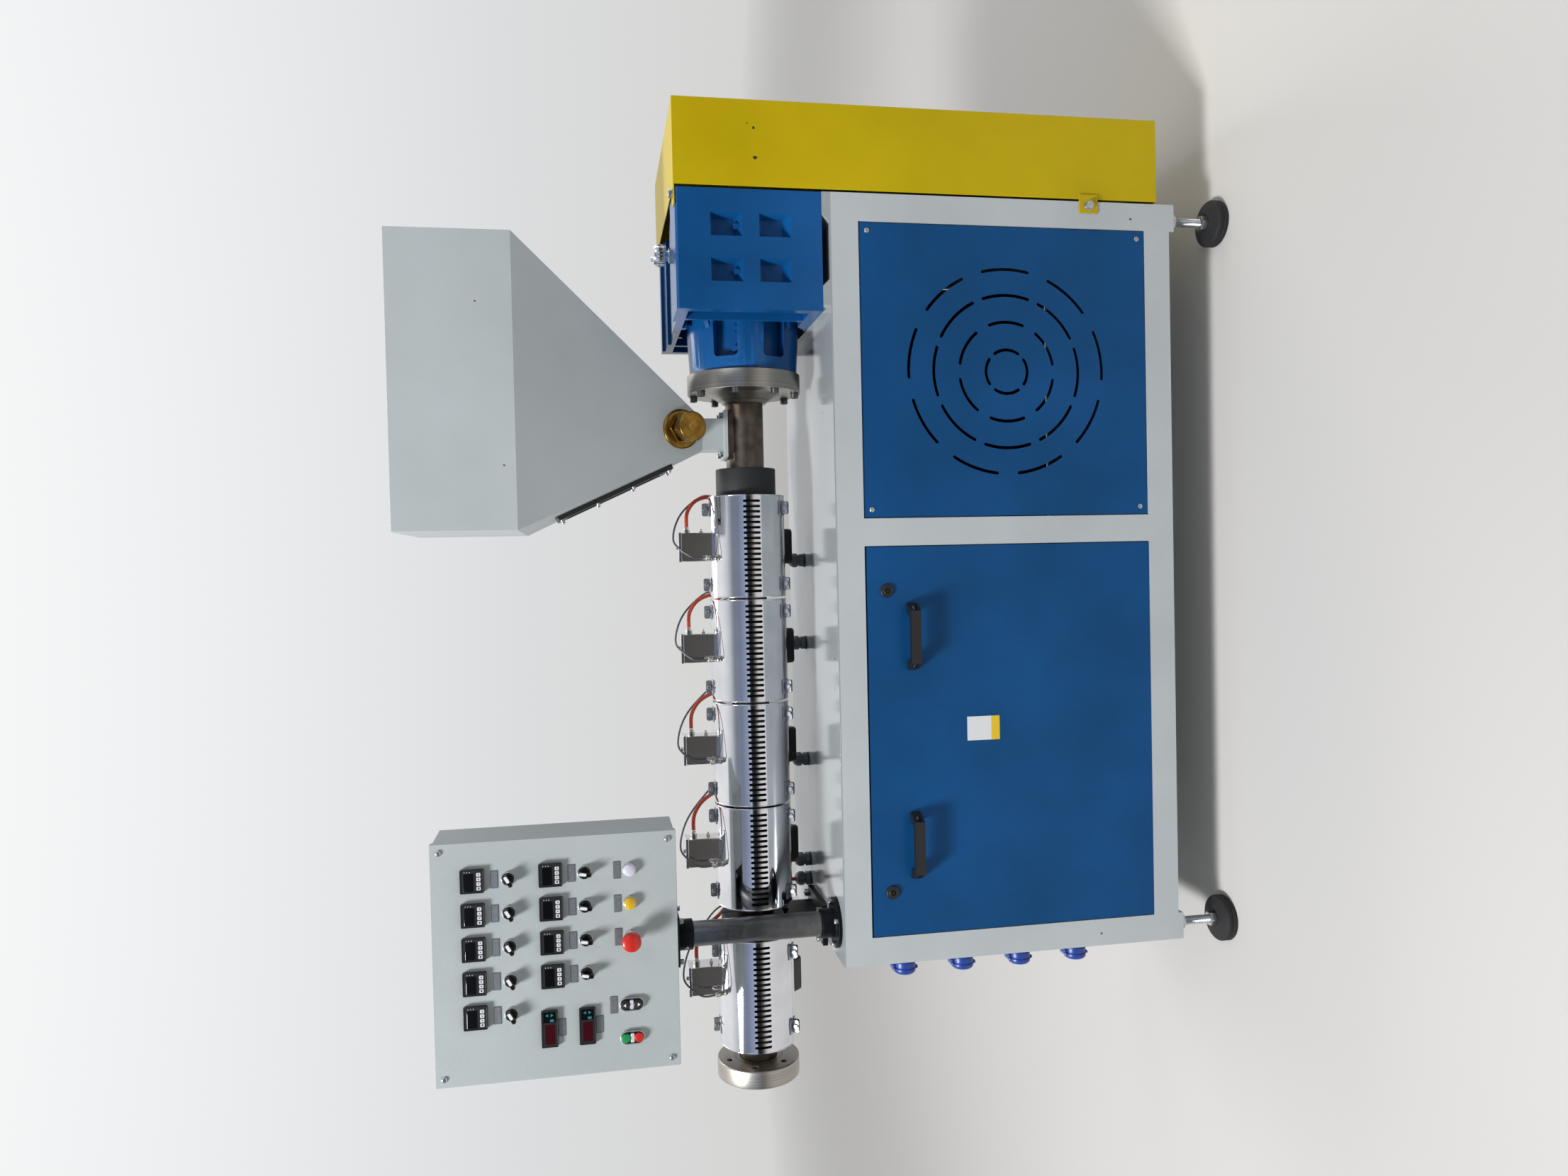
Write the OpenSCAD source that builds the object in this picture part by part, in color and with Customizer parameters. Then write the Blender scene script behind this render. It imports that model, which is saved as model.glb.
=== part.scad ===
// Single-screw plastic extruder on a welded tube frame, in millimetres.
// X runs along the barrel from the die to the belt guard, Y from front to back, Z up from the floor.
// Sizes are measured from the frame's left and front faces; the machine is then centred on its footprint.

/* [Node] */
// Sub-component to build, or all of them

/* [Frame] */
// Length of the welded frame
frame_length = 1675; // [1600:5:1800]
// Depth of the frame
frame_depth = 555; // [500:5:650]
// Height of the table above the floor
table_height = 925; // [880:5:1000]
// Side of the square frame tube
tube = 60; // [50:5:70]
// Wall of the frame tube
tube_wall = 3; // [2:0.5:5]
// Height of the leg ends above the floor
leg_height = 125; // [100:1:150]
// Step from a leg end up to the bottom rail
rail_step = 12; // [6:1:30]
// Left face of the middle posts
middle_post = 915; // [860:5:940]
// Thickness of the table sheet
table_sheet = 3; // [2:0.5:6]
// Thickness of the flat cladding sheets
panel_sheet = 2; // [1.5:0.5:3]
// Gap round a cladding panel
panel_gap = 2; // [1:0.5:4]

/* [Front cover] */
// Depth of the cover's folded edge
cover_fold = 22; // [15:1:30]
// Distance of the handles from the cover's middle
handle_offset = 229; // [180:1:280]
// Distance of the handles below the table
handle_drop = 165; // [130:1:220]
// Length of a bridge handle
handle_length = 145; // [120:1:170]
// Reach of a bridge handle
handle_reach = 38; // [30:1:50]
// Distance of the locks from the cover's middle
lock_offset = 330; // [300:1:360]
// Distance of the locks below the table
lock_drop = 111; // [98:1:122]
// Diameter of a lock's rosette
lock_diameter = 30; // [26:1:36]

/* [Vented panel] */
// Width of a cooling slot
slot_width = 7; // [5:0.5:9]
// Radii of the slot rings
slot_radii = [48, 109, 168, 225];
// Slots in each ring
slot_counts = [4, 6, 8, 9];
// Half of the arc of a slot in each ring, in degrees
slot_half_arcs = [34, 20.6, 18, 13.5];
// Distance of a fixing screw from the panel's edge
screw_inset = 17; // [14:1:24]

/* [Power sockets] */
// Number of sockets on the left end
socket_count = 4; // [2:1:4]
// Distance of the top socket below the table
socket_drop = 160; // [140:5:220]
// Distance between sockets
socket_pitch = 138; // [110:1:150]
// Distance of the sockets behind the front
socket_depth = 92; // [88:1:120]
// Diameter of a socket's body
socket_diameter = 44; // [40:1:50]
// Reach of a socket with its lid closed
socket_reach = 60; // [50:1:70]

/* [Feet] */
// Diameter of a foot pad
pad_diameter = 104; // [80:1:120]
// Thickness of a foot pad
pad_thickness = 30; // [20:1:40]
// Diameter of a foot spindle
spindle_diameter = 20; // [16:1:24]

/* [Gearbox] */
// Length of the gearbox along the barrel
gearbox_length = 254; // [240:1:270]
// Depth of the gearbox
gearbox_depth = 500; // [470:5:540]
// Height of the gearbox housing
gearbox_height = 314; // [300:1:340]
// Height of the two seats under the gearbox
seat_height = 16; // [10:1:25]
// Depth of the ribbed recess in the gearbox's end
recess_depth = 50; // [30:1:70]
// Rim round the ribbed recess
recess_rim = 26; // [20:1:34]
// Thickness of a housing rib
rib = 12; // [8:1:18]
// Large diameter of the bell
bell_diameter = 262; // [250:1:280]
// Small diameter of the bell
bell_nose = 250; // [236:1:260]
// Depth of the pockets in bell and housing
pocket_depth = 24; // [15:1:32]

/* [Belt guard] */
// Width of the belt guard
guard_width = 182; // [150:1:220]
// Depth of the belt guard
guard_depth = 550; // [500:5:600]
// Height of the guard's lower edge
guard_bottom = 167; // [140:1:250]
// Gap between guard and frame
guard_gap = 5; // [2:1:10]
// Thickness of the guard sheet
guard_sheet = 2; // [1.5:0.5:4]
// Thickness of the guard's fixing tabs
tab_sheet = 3; // [2:0.5:5]
// Height of the guard's side tabs above the floor
tab_height = 332; // [250:1:420]

/* [Barrel] */
// Height of the barrel axis above the table
axis_rise = 157; // [150:1:172]
// Distance of the barrel axis behind the front
axis_depth = 255; // [245:1:270]
// Diameter of the barrel
barrel_diameter = 88; // [80:1:96]
// Diameter of the bore
bore_diameter = 45; // [35:1:50]
// Overhang of the die face past the frame
die_overhang = 325; // [300:1:340]
// Diameter of the die flange
die_flange_diameter = 194; // [180:1:210]
// Thickness of the die flange
die_flange_thickness = 42; // [30:1:50]
// Bolt circle of the die flange
die_bolt_circle = 146; // [130:1:160]
// Diameter of the die bolt holes
die_bolt_hole = 13.5; // [10:1:16]
// Diameter of the steel flange on the bell
flange_diameter = 264; // [256:1:280]
// Thickness of the steel flange
flange_thickness = 42; // [30:1:50]
// Bolt circle of the steel flange
flange_bolt_circle = 240; // [230:1:246]
// Height of the feed saddle above the axis
saddle_height = 46; // [45:1:52]

/* [Heating] */
// Outer diameter of a heater band
band_diameter = 178; // [160:1:190]
// Length of a heater band
band_length = 235.5; // [225:0.5:238]
// Length of the band at the die
die_band_length = 259; // [235:1:262]
// Distance from band to band
band_pitch = 240; // [239:0.5:242]
// Right end of the first band
band_right = 1041; // [1030:1:1045]
// Width of a cooling slit in a band
slit_width = 6; // [4:0.5:8]
// Distance from slit to slit
slit_pitch = 12.1; // [11.5:0.1:12.5]
// Half of the arc of a slit, in degrees
slit_half_arc = 13; // [8:1:20]
// Outer diameter of the black collar
collar_diameter = 140; // [120:1:160]
// Length of the black collar
collar_length = 63; // [40:1:70]
// Positions of the terminal boxes along the barrel, first band first
terminal_positions = [924, 689, 452, 212, -89];
// Size of a terminal box
terminal_box = [66, 54, 77];
// Distance of a band's clamps from its middle
clamp_offset = 88; // [75:1:95]
// Positions of the cable glands along the table
gland_positions = [889, 685, 396, 146, 98];
// Distance of the cable glands behind the front
gland_depth = 360; // [350:1:375]
// Angle of the fans, from the front over the top and round the barrel
fan_angle = 228; // [222:1:236]
// Depth of a fan with its duct, out of the band
fan_depth = 39; // [30:1:42]

/* [Hopper] */
// Width of the hopper
hopper_width = 626; // [560:2:660]
// Depth of the hopper
hopper_depth = 400; // [340:2:420]
// Left face of the hopper
hopper_left = 963; // [940:1:990]
// Height of the hopper's rim above the barrel axis
rim_rise = 768; // [700:1:820]
// Height of the bend between box and taper above the barrel axis
knee_rise = 513; // [480:1:540]
// Height of the hopper's lower end above the barrel axis
foot_rise = 104; // [98:1:116]
// Middle of the feed neck
neck_middle = 1184; // [1180:1:1188]
// Side of the square feed neck
neck_side = 72; // [60:1:80]
// Side of the neck's flange
neck_flange = 108; // [104:1:112]
// Thickness of the hopper sheet
hopper_sheet = 2; // [1.5:0.5:4]

/* [Control panel] */
// Side of the control box
box_side = 500; // [490:2:520]
// Depth of the control box
box_depth = 140; // [120:2:160]
// Height of the control box's underside above the table
box_rise = 360; // [335:1:385]
// Front of the control box in front of the frame
box_overhang = 2; // [0:1:20]
// Middle of the mast along the frame
mast_middle = 79; // [70:1:90]
// Diameter of the mast
mast_diameter = 54; // [48:1:60]
// Diameter of the mast's base flange
mast_base = 110; // [100:1:130]
// Distance between control columns
column_pitch = 70.2; // [69:0.1:71]
// First control column from the box's left
first_column = 140.5; // [138:0.5:146]

/* [Fits] */
// Radial gap of a ring on the barrel
ring_gap = 0.2; // [0.1:0.05:0.3]
// Gap round a device in its panel cut-out
cutout_gap = 0.25; // [0.2:0.05:0.4]
// Travel of the stop button
stop_travel = 5; // [3:0.5:6]

/* [Hidden] */
$fa = 6;
$fs = 1;
eps = 0.01;

post_xs = [0, middle_post, frame_length - tube];
post_ys = [0, frame_depth - tube];
axis_height = table_height + axis_rise;
rail_bottom = leg_height + rail_step;
bay_bottom = rail_bottom + tube;
rail_top = table_height - table_sheet;
bay_top = rail_top - tube;
bay_height = bay_top - bay_bottom;
left_bay = [tube, middle_post];
right_bay = [middle_post + tube, frame_length - tube];
vent_middle = (right_bay[0] + right_bay[1]) / 2;
bay_middle = (bay_bottom + bay_top) / 2;
cover_middle = (left_bay[0] + left_bay[1]) / 2;
cover_centre = bay_middle - panel_gap;
handle_height = table_height - handle_drop;
lock_height = table_height - lock_drop;
socket_top = table_height - socket_drop;

gearbox_left = frame_length - gearbox_length;
gearbox_front = 3;
gearbox_bottom = table_height + seat_height;
gearbox_top = gearbox_bottom + gearbox_height;
seat_width = 54;
recess_floor = gearbox_left + recess_depth;
flange_left = gearbox_left - 142;
bell_left = flange_left + flange_thickness;
hub_left = flange_left - 22;
barrel_left = -die_overhang;
barrel_right = flange_left + flange_thickness - 12;
barrel_radius = barrel_diameter / 2;
band_radius = band_diameter / 2;
die_band_right = band_right - 3 * band_pitch - band_length - 72.5;
band_lefts = [for (i = [0:3]) band_right - i * band_pitch - band_length];
band_starts = concat(band_lefts, [die_band_right - die_band_length]);
band_sizes = [band_length, band_length, band_length, band_length, die_band_length];
band_slits = [18, 18, 18, 18, 20];
clamp_angles = [92, -60, 240];
support_middle = die_band_right + 30;
terminal_top = axis_height + band_radius - 4 + terminal_box[2];

guard_left = frame_length + guard_gap;
guard_right = guard_left + guard_width;
guard_top = gearbox_top + tab_sheet;

saddle_top = axis_height + saddle_height;
hopper_foot = axis_height + foot_rise;
hopper_knee = axis_height + knee_rise;
hopper_top = axis_height + rim_rise;
neck_flange_sheet = 8;
hopper_front = axis_depth - hopper_depth / 2;
hopper_back = axis_depth + hopper_depth / 2;
hopper_right = hopper_left + hopper_width;
taper_height = hopper_knee - hopper_foot;
front_slope = atan((hopper_depth - neck_side) / 2 / taper_height);
left_slope = atan((neck_middle - neck_side / 2 - hopper_left) / taper_height);

box_bottom = table_height + box_rise;
box_left = mast_middle - box_side / 2 - 3;
box_front = -box_overhang;
box_back = box_front + box_depth;
mast_depth = box_front + box_depth / 2;
gland_height = 38;
head_plate = 8;
box_step = 2.5;
head_top = box_bottom + box_step;
fold = 15;
columns = [for (i = [0:4]) first_column + i * column_pitch];
controller_row_1 = 416.5;
controller_row_2 = 260;
selector_row_1 = 345;
selector_row_2 = 191;
button_row = 98;
lower_shift = 2;
selector_spots = [
    for (i = [0:4]) [columns[i], selector_row_1],
    for (i = [1:4]) [columns[i] + lower_shift, selector_row_2]
];
controller_spots = [
    for (i = [0:4]) [columns[i], controller_row_1],
    for (i = [1:4]) [columns[i] + lower_shift, controller_row_2]
];
display_spots = [[104, 269], [103, 192]];
double_spots = [[columns[0] - column_pitch, button_row + 2], [columns[0], button_row + 2]];
stop_spot = [columns[2], button_row];
lamp_spots = [for (i = [3, 4]) [columns[i] + lower_shift, button_row]];
label_spots = [
    for (i = [0:4]) [columns[i], selector_row_1 + 28],
    for (i = [1:4]) [columns[i] + lower_shift, selector_row_2 + 26],
    for (s = display_spots) [s[0], s[1] - 25],
    [columns[0], button_row + 39],
    for (i = [2:4]) [columns[i] + lower_shift, button_row + 26]
];
stop_head = 48;

footprint_front = box_front - stop_head;
footprint_back = frame_depth - tube / 2 + pad_diameter / 2;
footprint_middle = [(guard_right + barrel_left) / 2, (footprint_front + footprint_back) / 2, 0];

white_paint = [0.73, 0.76, 0.77];
blue_paint = [0.03, 0.22, 0.46];
yellow_paint = [0.78, 0.66, 0.04];
black_plastic = [0.06, 0.06, 0.06];
zinc = [0.62, 0.63, 0.64];
stainless = [0.8, 0.8, 0.82];
steel = [0.5, 0.48, 0.46];

// Placing and shared shapes

module centred() {
    translate(-footprint_middle) children();
}

// Local z along the barrel, from the given place
module on_axis(x) {
    translate([x, axis_depth, axis_height]) rotate([0, 90, 0]) children();
}

// Local z out of the barrel's surface, at an angle above the front
module round_axis(x, angle) {
    translate([x, axis_depth, axis_height]) rotate([90 - angle, 0, 0]) children();
}

// Local z out of the control box's front
module on_panel(spot) {
    translate([box_left + spot[0], box_front, box_bottom + spot[1]]) rotate([90, 0, 0]) children();
}

module rounded_rect(size, r) {
    square([size[0] - 2 * r, size[1]], center = true);
    square([size[0], size[1] - 2 * r], center = true);
    for (x = [-1, 1], y = [-1, 1])
        translate([x * (size[0] / 2 - r), y * (size[1] / 2 - r)]) circle(r);
}

module block(size, r) {
    linear_extrude(size[2]) rounded_rect(size, r);
}

module ring(outer, inner, height) {
    rotate_extrude() translate([inner, 0]) square([outer - inner, height]);
}

module hexagon(across, height) {
    cylinder(d = across / cos(30), h = height, $fn = 6);
}

module hex_bolt(across, head, shank, length) {
    hexagon(across, head);
    translate([0, 0, -length]) cylinder(d = shank, h = length + eps);
}

module cap_screw(shank, length) {
    difference() {
        cylinder(d = shank * 1.5, h = shank);
        translate([0, 0, shank * 0.5]) hexagon(shank * 0.8, shank);
    }
    translate([0, 0, -length]) cylinder(d = shank, h = length + eps);
}

module button_screw() {
    difference() {
        intersection() {
            cylinder(d = 11, h = 3.4);
            translate([0, 0, -4.4]) sphere(7.8);
        }
        translate([0, 0, 1.8]) hexagon(4, 3);
    }
    translate([0, 0, -8]) cylinder(d = 5.6, h = 8 + eps);
}

// A tube or rod along a smooth line through the given points
function blend(a, b, c, d, t) =
    0.5 * (2 * b + (c - a) * t + (2 * a - 5 * b + 4 * c - d) * t * t + (3 * b - a - 3 * c + d) * t * t * t);
function smooth(points, steps) = [
    for (i = [0:len(points) - 2], s = [0:steps - 1])
        blend(
            points[max(i - 1, 0)], points[i], points[i + 1], points[min(i + 2, len(points) - 1)],
            s / steps
        ),
    points[len(points) - 1]
];
function unit(v) = v / norm(v);
module run(points, d, steps = 3, sides = 8) {
    line = smooth(points, steps);
    n = len(line);
    along = [for (i = [0:n - 1]) unit(line[min(i + 1, n - 1)] - line[max(i - 1, 0)])];
    side = [for (i = [0:n - 1]) unit(cross(along[i], [0.31, 0.87, 0.38]))];
    skin = [
        for (i = [0:n - 1], k = [0:sides - 1])
            let (up = cross(along[i], side[i]), a = 360 * k / sides)
                line[i] + d / 2 * (cos(a) * side[i] + sin(a) * up)
    ];
    walls = [
        for (i = [0:n - 2], k = [0:sides - 1])
            let (j = (k + 1) % sides, a = i * sides, b = a + sides)
                each [[a + k, b + k, b + j], [a + k, b + j, a + j]]
    ];
    first = [for (k = [0:sides - 1]) k];
    last = [for (k = [sides - 1:-1:0]) (n - 1) * sides + k];
    polyhedron(skin, concat(walls, [first], [last]), convexity = 4);
}

// Frame and cladding

module square_tube(size) {
    difference() {
        cube(size);
        longest = max(size);
        inner = [for (s = size) s == longest ? s + 2 : s - 2 * tube_wall];
        translate([for (s = size) s == longest ? -1 : tube_wall]) cube(inner);
    }
}

module frame_posts() {
    color(white_paint) {
        for (x = [post_xs[0], post_xs[2]], y = post_ys) translate([x, y, leg_height]) {
            square_tube([tube, tube, bay_top - leg_height]);
            difference() {
                translate([tube_wall, tube_wall, 0]) cube([tube - 2 * tube_wall, tube - 2 * tube_wall, 8]);
                translate([tube / 2, tube / 2, -1]) cylinder(d = spindle_diameter + 2 * cutout_gap, h = 10);
            }
        }
        for (y = post_ys) translate([post_xs[1], y, bay_bottom]) square_tube([tube, tube, bay_height]);
    }
}

// A closed rail with a vent hole into each post below it
module top_rail() {
    difference() {
        cube([frame_length, tube, tube]);
        translate([tube_wall, tube_wall, tube_wall])
            cube([frame_length - 2 * tube_wall, tube - 2 * tube_wall, tube - 2 * tube_wall]);
        for (x = post_xs) translate([x + tube / 2, tube / 2, -1]) cylinder(d = 20, h = tube_wall + 2);
    }
}

// Corner tabs behind a flat panel, in the panel's own plane
module corner_tabs(width, height) {
    for (x = [-1, 1], z = [-1, 1])
        translate([x * (width / 2 - 15), z * (height / 2 - 15), 0]) difference() {
            translate([-15, -15, 0]) cube([30, 30, 3]);
            translate([-x * (screw_inset - 13), -z * (screw_inset - 13), -1]) cylinder(d = 6, h = 5);
        }
}

module frame_rails() {
    color(white_paint) {
        for (y = post_ys) translate([0, y, bay_top]) top_rail();
        for (y = post_ys) translate([tube, y, rail_bottom])
            square_tube([frame_length - 2 * tube, tube, tube]);
        for (x = [post_xs[0], post_xs[2]], z = [rail_bottom, bay_top]) translate([x, tube, z])
            square_tube([tube, frame_depth - 2 * tube, tube]);
        translate([post_xs[1], tube, bay_top]) square_tube([tube, frame_depth - 2 * tube, tube]);
        translate([vent_middle, 2 * panel_sheet, bay_middle]) rotate([90, 0, 0]) mirror([0, 0, 1])
            corner_tabs(right_bay[1] - right_bay[0], bay_height);
        for (bay = [left_bay, right_bay])
            translate([(bay[0] + bay[1]) / 2, frame_depth - 2 * panel_sheet, bay_middle]) rotate([90, 0, 0])
                corner_tabs(bay[1] - bay[0], bay_height);
        translate([2 * panel_sheet, frame_depth / 2, bay_middle]) rotate([90, 0, 90])
            corner_tabs(frame_depth - 2 * tube, bay_height);
    }
}

module table_plate() {
    seat_bevel = seat_height;
    color(white_paint) {
        translate([0, 0, rail_top]) cube([frame_length, frame_depth, table_sheet]);
        translate([0, frame_depth, table_height]) rotate([90, 0, 0]) difference() {
            linear_extrude(frame_depth) {
                polygon([
                    [gearbox_left - 2, -eps], [gearbox_left - 2, seat_height],
                    [gearbox_left + seat_width, seat_height], [gearbox_left + seat_width + seat_bevel, 0],
                    [gearbox_left + seat_width + seat_bevel, -eps]
                ]);
                polygon([
                    [frame_length - seat_width + 5 - seat_bevel, -eps],
                    [frame_length - seat_width + 5 - seat_bevel, 0],
                    [frame_length - seat_width + 5, seat_height],
                    [frame_length, seat_height], [frame_length, -eps]
                ]);
            }
            for (z = [0, frame_depth]) translate([gearbox_left - 2, seat_height / 2 + 1, z])
                rotate([0, 45, 0]) cube([20, seat_height + 1, 20], center = true);
        }
    }
}

module floor_sheet() {
    color(white_paint) translate([tube, tube, rail_bottom + tube_wall])
        cube([frame_length - 2 * tube, frame_depth - 2 * tube, table_sheet]);
}

module front_cover() {
    width = left_bay[1] - left_bay[0] - 2 * panel_gap;
    height = bay_height - 2 * panel_gap;
    color(blue_paint) translate([cover_middle, 0, cover_centre]) rotate([90, 0, 0]) difference() {
        translate([0, 0, -cover_fold]) block([width, height, cover_fold], 3);
        translate([0, 0, -cover_fold - 1])
            block([width - 2 * panel_sheet, height - 2 * panel_sheet, cover_fold + 1 - panel_sheet], 1);
        for (x = [-1, 1]) translate([x * lock_offset, lock_height - cover_centre, -10])
            cylinder(d = 20 + 2 * cutout_gap, h = 20);
        for (x = [-1, 1], s = [-1, 1])
            translate([x * handle_offset + s * (handle_length / 2 - 10), handle_height - cover_centre, -10])
                cylinder(d = 6.5, h = 20);
    }
}

module cover_handles() {
    thick = 22;
    half = handle_length / 2;
    color(black_plastic) for (x = [-1, 1])
        translate([cover_middle + x * handle_offset, 0, handle_height - thick / 2]) {
            difference() {
                linear_extrude(thick) difference() {
                    polygon([
                        [-half, 0], [-half, -9], [-half + 15, -handle_reach], [half - 15, -handle_reach],
                        [half, -9], [half, 0]
                    ]);
                    polygon([
                        [-half + 20, 1], [-half + 20, -4], [-half + 27, 14 - handle_reach],
                        [half - 27, 14 - handle_reach], [half - 20, -4], [half - 20, 1]
                    ]);
                }
                for (s = [-1, 1]) translate([s * (half - 10), -handle_reach, thick / 2]) rotate([-90, 0, 0])
                    cylinder(d = 10, h = handle_reach - 8);
            }
            for (s = [-1, 1]) translate([s * (half - 10), -9, thick / 2]) rotate([-90, 0, 0])
                cylinder(d = 6, h = 9 + panel_sheet + 4);
        }
}

module cover_locks() {
    color(black_plastic) for (x = [-1, 1])
        translate([cover_middle + x * lock_offset, 0, lock_height]) rotate([90, 0, 0]) difference() {
            union() {
                rotate_extrude() polygon([
                    [0, -26], [10, -26], [10, 0], [lock_diameter / 2, 0], [lock_diameter / 2, 3],
                    [lock_diameter / 2 - 2, 5], [0, 5]
                ]);
                translate([-8, -8, -30]) cube([16, 26, 4]);
            }
            translate([0, 0, -4]) cylinder(d = 11, h = 10);
        }
}

// A flat panel centred on its bay, with its four screw holes
module flat_panel(width, height) {
    difference() {
        translate([-width / 2 + panel_gap, -height / 2 + panel_gap, 0])
            cube([width - 2 * panel_gap, height - 2 * panel_gap, panel_sheet]);
        for (x = [-1, 1], z = [-1, 1])
            translate([x * (width / 2 - screw_inset - 2), z * (height / 2 - screw_inset - 2), -1])
                cylinder(d = 6, h = panel_sheet + 2);
        children();
    }
}

module slot_rings() {
    for (i = [0:len(slot_radii) - 1], k = [0:slot_counts[i] - 1])
        rotate([0, 0, k * 360 / slot_counts[i]]) {
            half = slot_half_arcs[i];
            r = slot_radii[i];
            rotate([0, 0, -half]) rotate_extrude(angle = 2 * half)
                translate([r - slot_width / 2, -1]) square([slot_width, panel_sheet + 2]);
            for (s = [-1, 1]) rotate([0, 0, s * half]) translate([r, 0, -1])
                cylinder(d = slot_width, h = panel_sheet + 2);
        }
}

module vented_panel() {
    color(blue_paint) translate([vent_middle, 2 * panel_sheet, bay_middle]) rotate([90, 0, 0])
        flat_panel(right_bay[1] - right_bay[0], bay_height) slot_rings();
}

module rear_panels() {
    color(blue_paint) {
        translate([cover_middle, frame_depth - panel_sheet, bay_middle]) rotate([90, 0, 0])
            flat_panel(left_bay[1] - left_bay[0], bay_height);
        translate([vent_middle, frame_depth - panel_sheet, bay_middle]) rotate([90, 0, 0])
            flat_panel(right_bay[1] - right_bay[0], bay_height) slot_rings();
    }
}

module socket_panel() {
    width = frame_depth - 2 * tube;
    color(blue_paint) translate([panel_sheet, frame_depth / 2, bay_middle]) rotate([90, 0, 90])
        flat_panel(width, bay_height)
            for (i = [0:socket_count - 1])
                translate([socket_depth - frame_depth / 2, socket_top - i * socket_pitch - bay_middle, -1])
                    cylinder(d = 40 + 2 * cutout_gap, h = panel_sheet + 2);
}

module panel_corners(width, height) {
    for (x = [-1, 1], z = [-1, 1])
        translate([x * (width / 2 - screw_inset - 2), z * (height / 2 - screw_inset - 2), 0]) children();
}

module panel_screws() {
    color(zinc) {
        translate([vent_middle, panel_sheet, bay_middle]) rotate([90, 0, 0])
            panel_corners(right_bay[1] - right_bay[0], bay_height) button_screw();
        for (bay = [left_bay, right_bay])
            translate([(bay[0] + bay[1]) / 2, frame_depth - panel_sheet, bay_middle]) rotate([-90, 0, 0])
                panel_corners(bay[1] - bay[0], bay_height) button_screw();
        translate([panel_sheet, frame_depth / 2, bay_middle]) rotate([0, -90, 0])
            panel_corners(bay_height, frame_depth - 2 * tube) button_screw();
    }
}

module power_sockets() {
    color([0.03, 0.12, 0.4]) for (i = [0:socket_count - 1])
        translate([panel_sheet, socket_depth, socket_top - i * socket_pitch]) rotate([0, -90, 0]) {
            r = socket_diameter / 2;
            translate([0, 0, -30]) cylinder(d = 40, h = 30 + eps);
            block([50, 50, 5], 4);
            rotate_extrude() polygon([
                [0, 5 - eps], [r, 5 - eps], [r, 30], [r + 3, 32],
                [r + 3, socket_reach - 16], [0, socket_reach - 16]
            ]);
            translate([0, 0, socket_reach - 16 - eps]) rotate_extrude() polygon([
                [0, 0], [r + 2, 0], [r + 2, 8], [r - 3, 14], [0, 14]
            ]);
            translate([r - 2, -9, socket_reach - 26]) cube([9, 18, 14]);
            translate([-r - 7, -6, socket_reach - 16]) cube([8, 12, 5]);
        }
}

module at_legs() {
    for (x = [tube / 2, frame_length - tube / 2], y = [tube / 2, frame_depth - tube / 2])
        translate([x, y, 0]) children();
}

module foot_spindles() {
    color(zinc) at_legs() {
        translate([0, 0, pad_thickness - 8])
            cylinder(d = spindle_diameter, h = leg_height + 60 - pad_thickness);
        translate([0, 0, pad_thickness]) hexagon(30, 15);
    }
}

module foot_pads() {
    r = pad_diameter / 2;
    color(black_plastic) at_legs() difference() {
        rotate_extrude() polygon([
            [0, 0], [r - 3, 0], [r, 3], [r, pad_thickness - 8], [r - 3, pad_thickness - 4],
            [22, pad_thickness], [0, pad_thickness]
        ]);
        translate([0, 0, pad_thickness - 8]) cylinder(d = spindle_diameter + 2 * ring_gap, h = 9);
    }
}

// Gearbox and belt guard

// A closed block between two level rectangles, each [x0, x1, y0, y1, z], the lower one first
module taper(a, b) {
    polyhedron([
        for (q = [a, b]) each [
            [q[0], q[2], q[4]], [q[1], q[2], q[4]], [q[1], q[3], q[4]], [q[0], q[3], q[4]]
        ]
    ], [[0, 1, 2, 3], [7, 6, 5, 4], [0, 4, 5, 1], [1, 5, 6, 2], [2, 6, 7, 3], [3, 7, 4, 0]]);
}

module tapered_pocket(w, h) {
    taper([7 - w / 2, w / 2 - 7, 16 - h / 2, h / 2 - 9, -pocket_depth], [-w / 2, w / 2, -h / 2, h / 2, 1]);
}

module pocket_spots() {
    for (x = [0, 95.5], z = [0, 104.5])
        translate([gearbox_left + 83.5 + x, 0, gearbox_bottom + 101.5 + z]) children();
}

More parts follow.
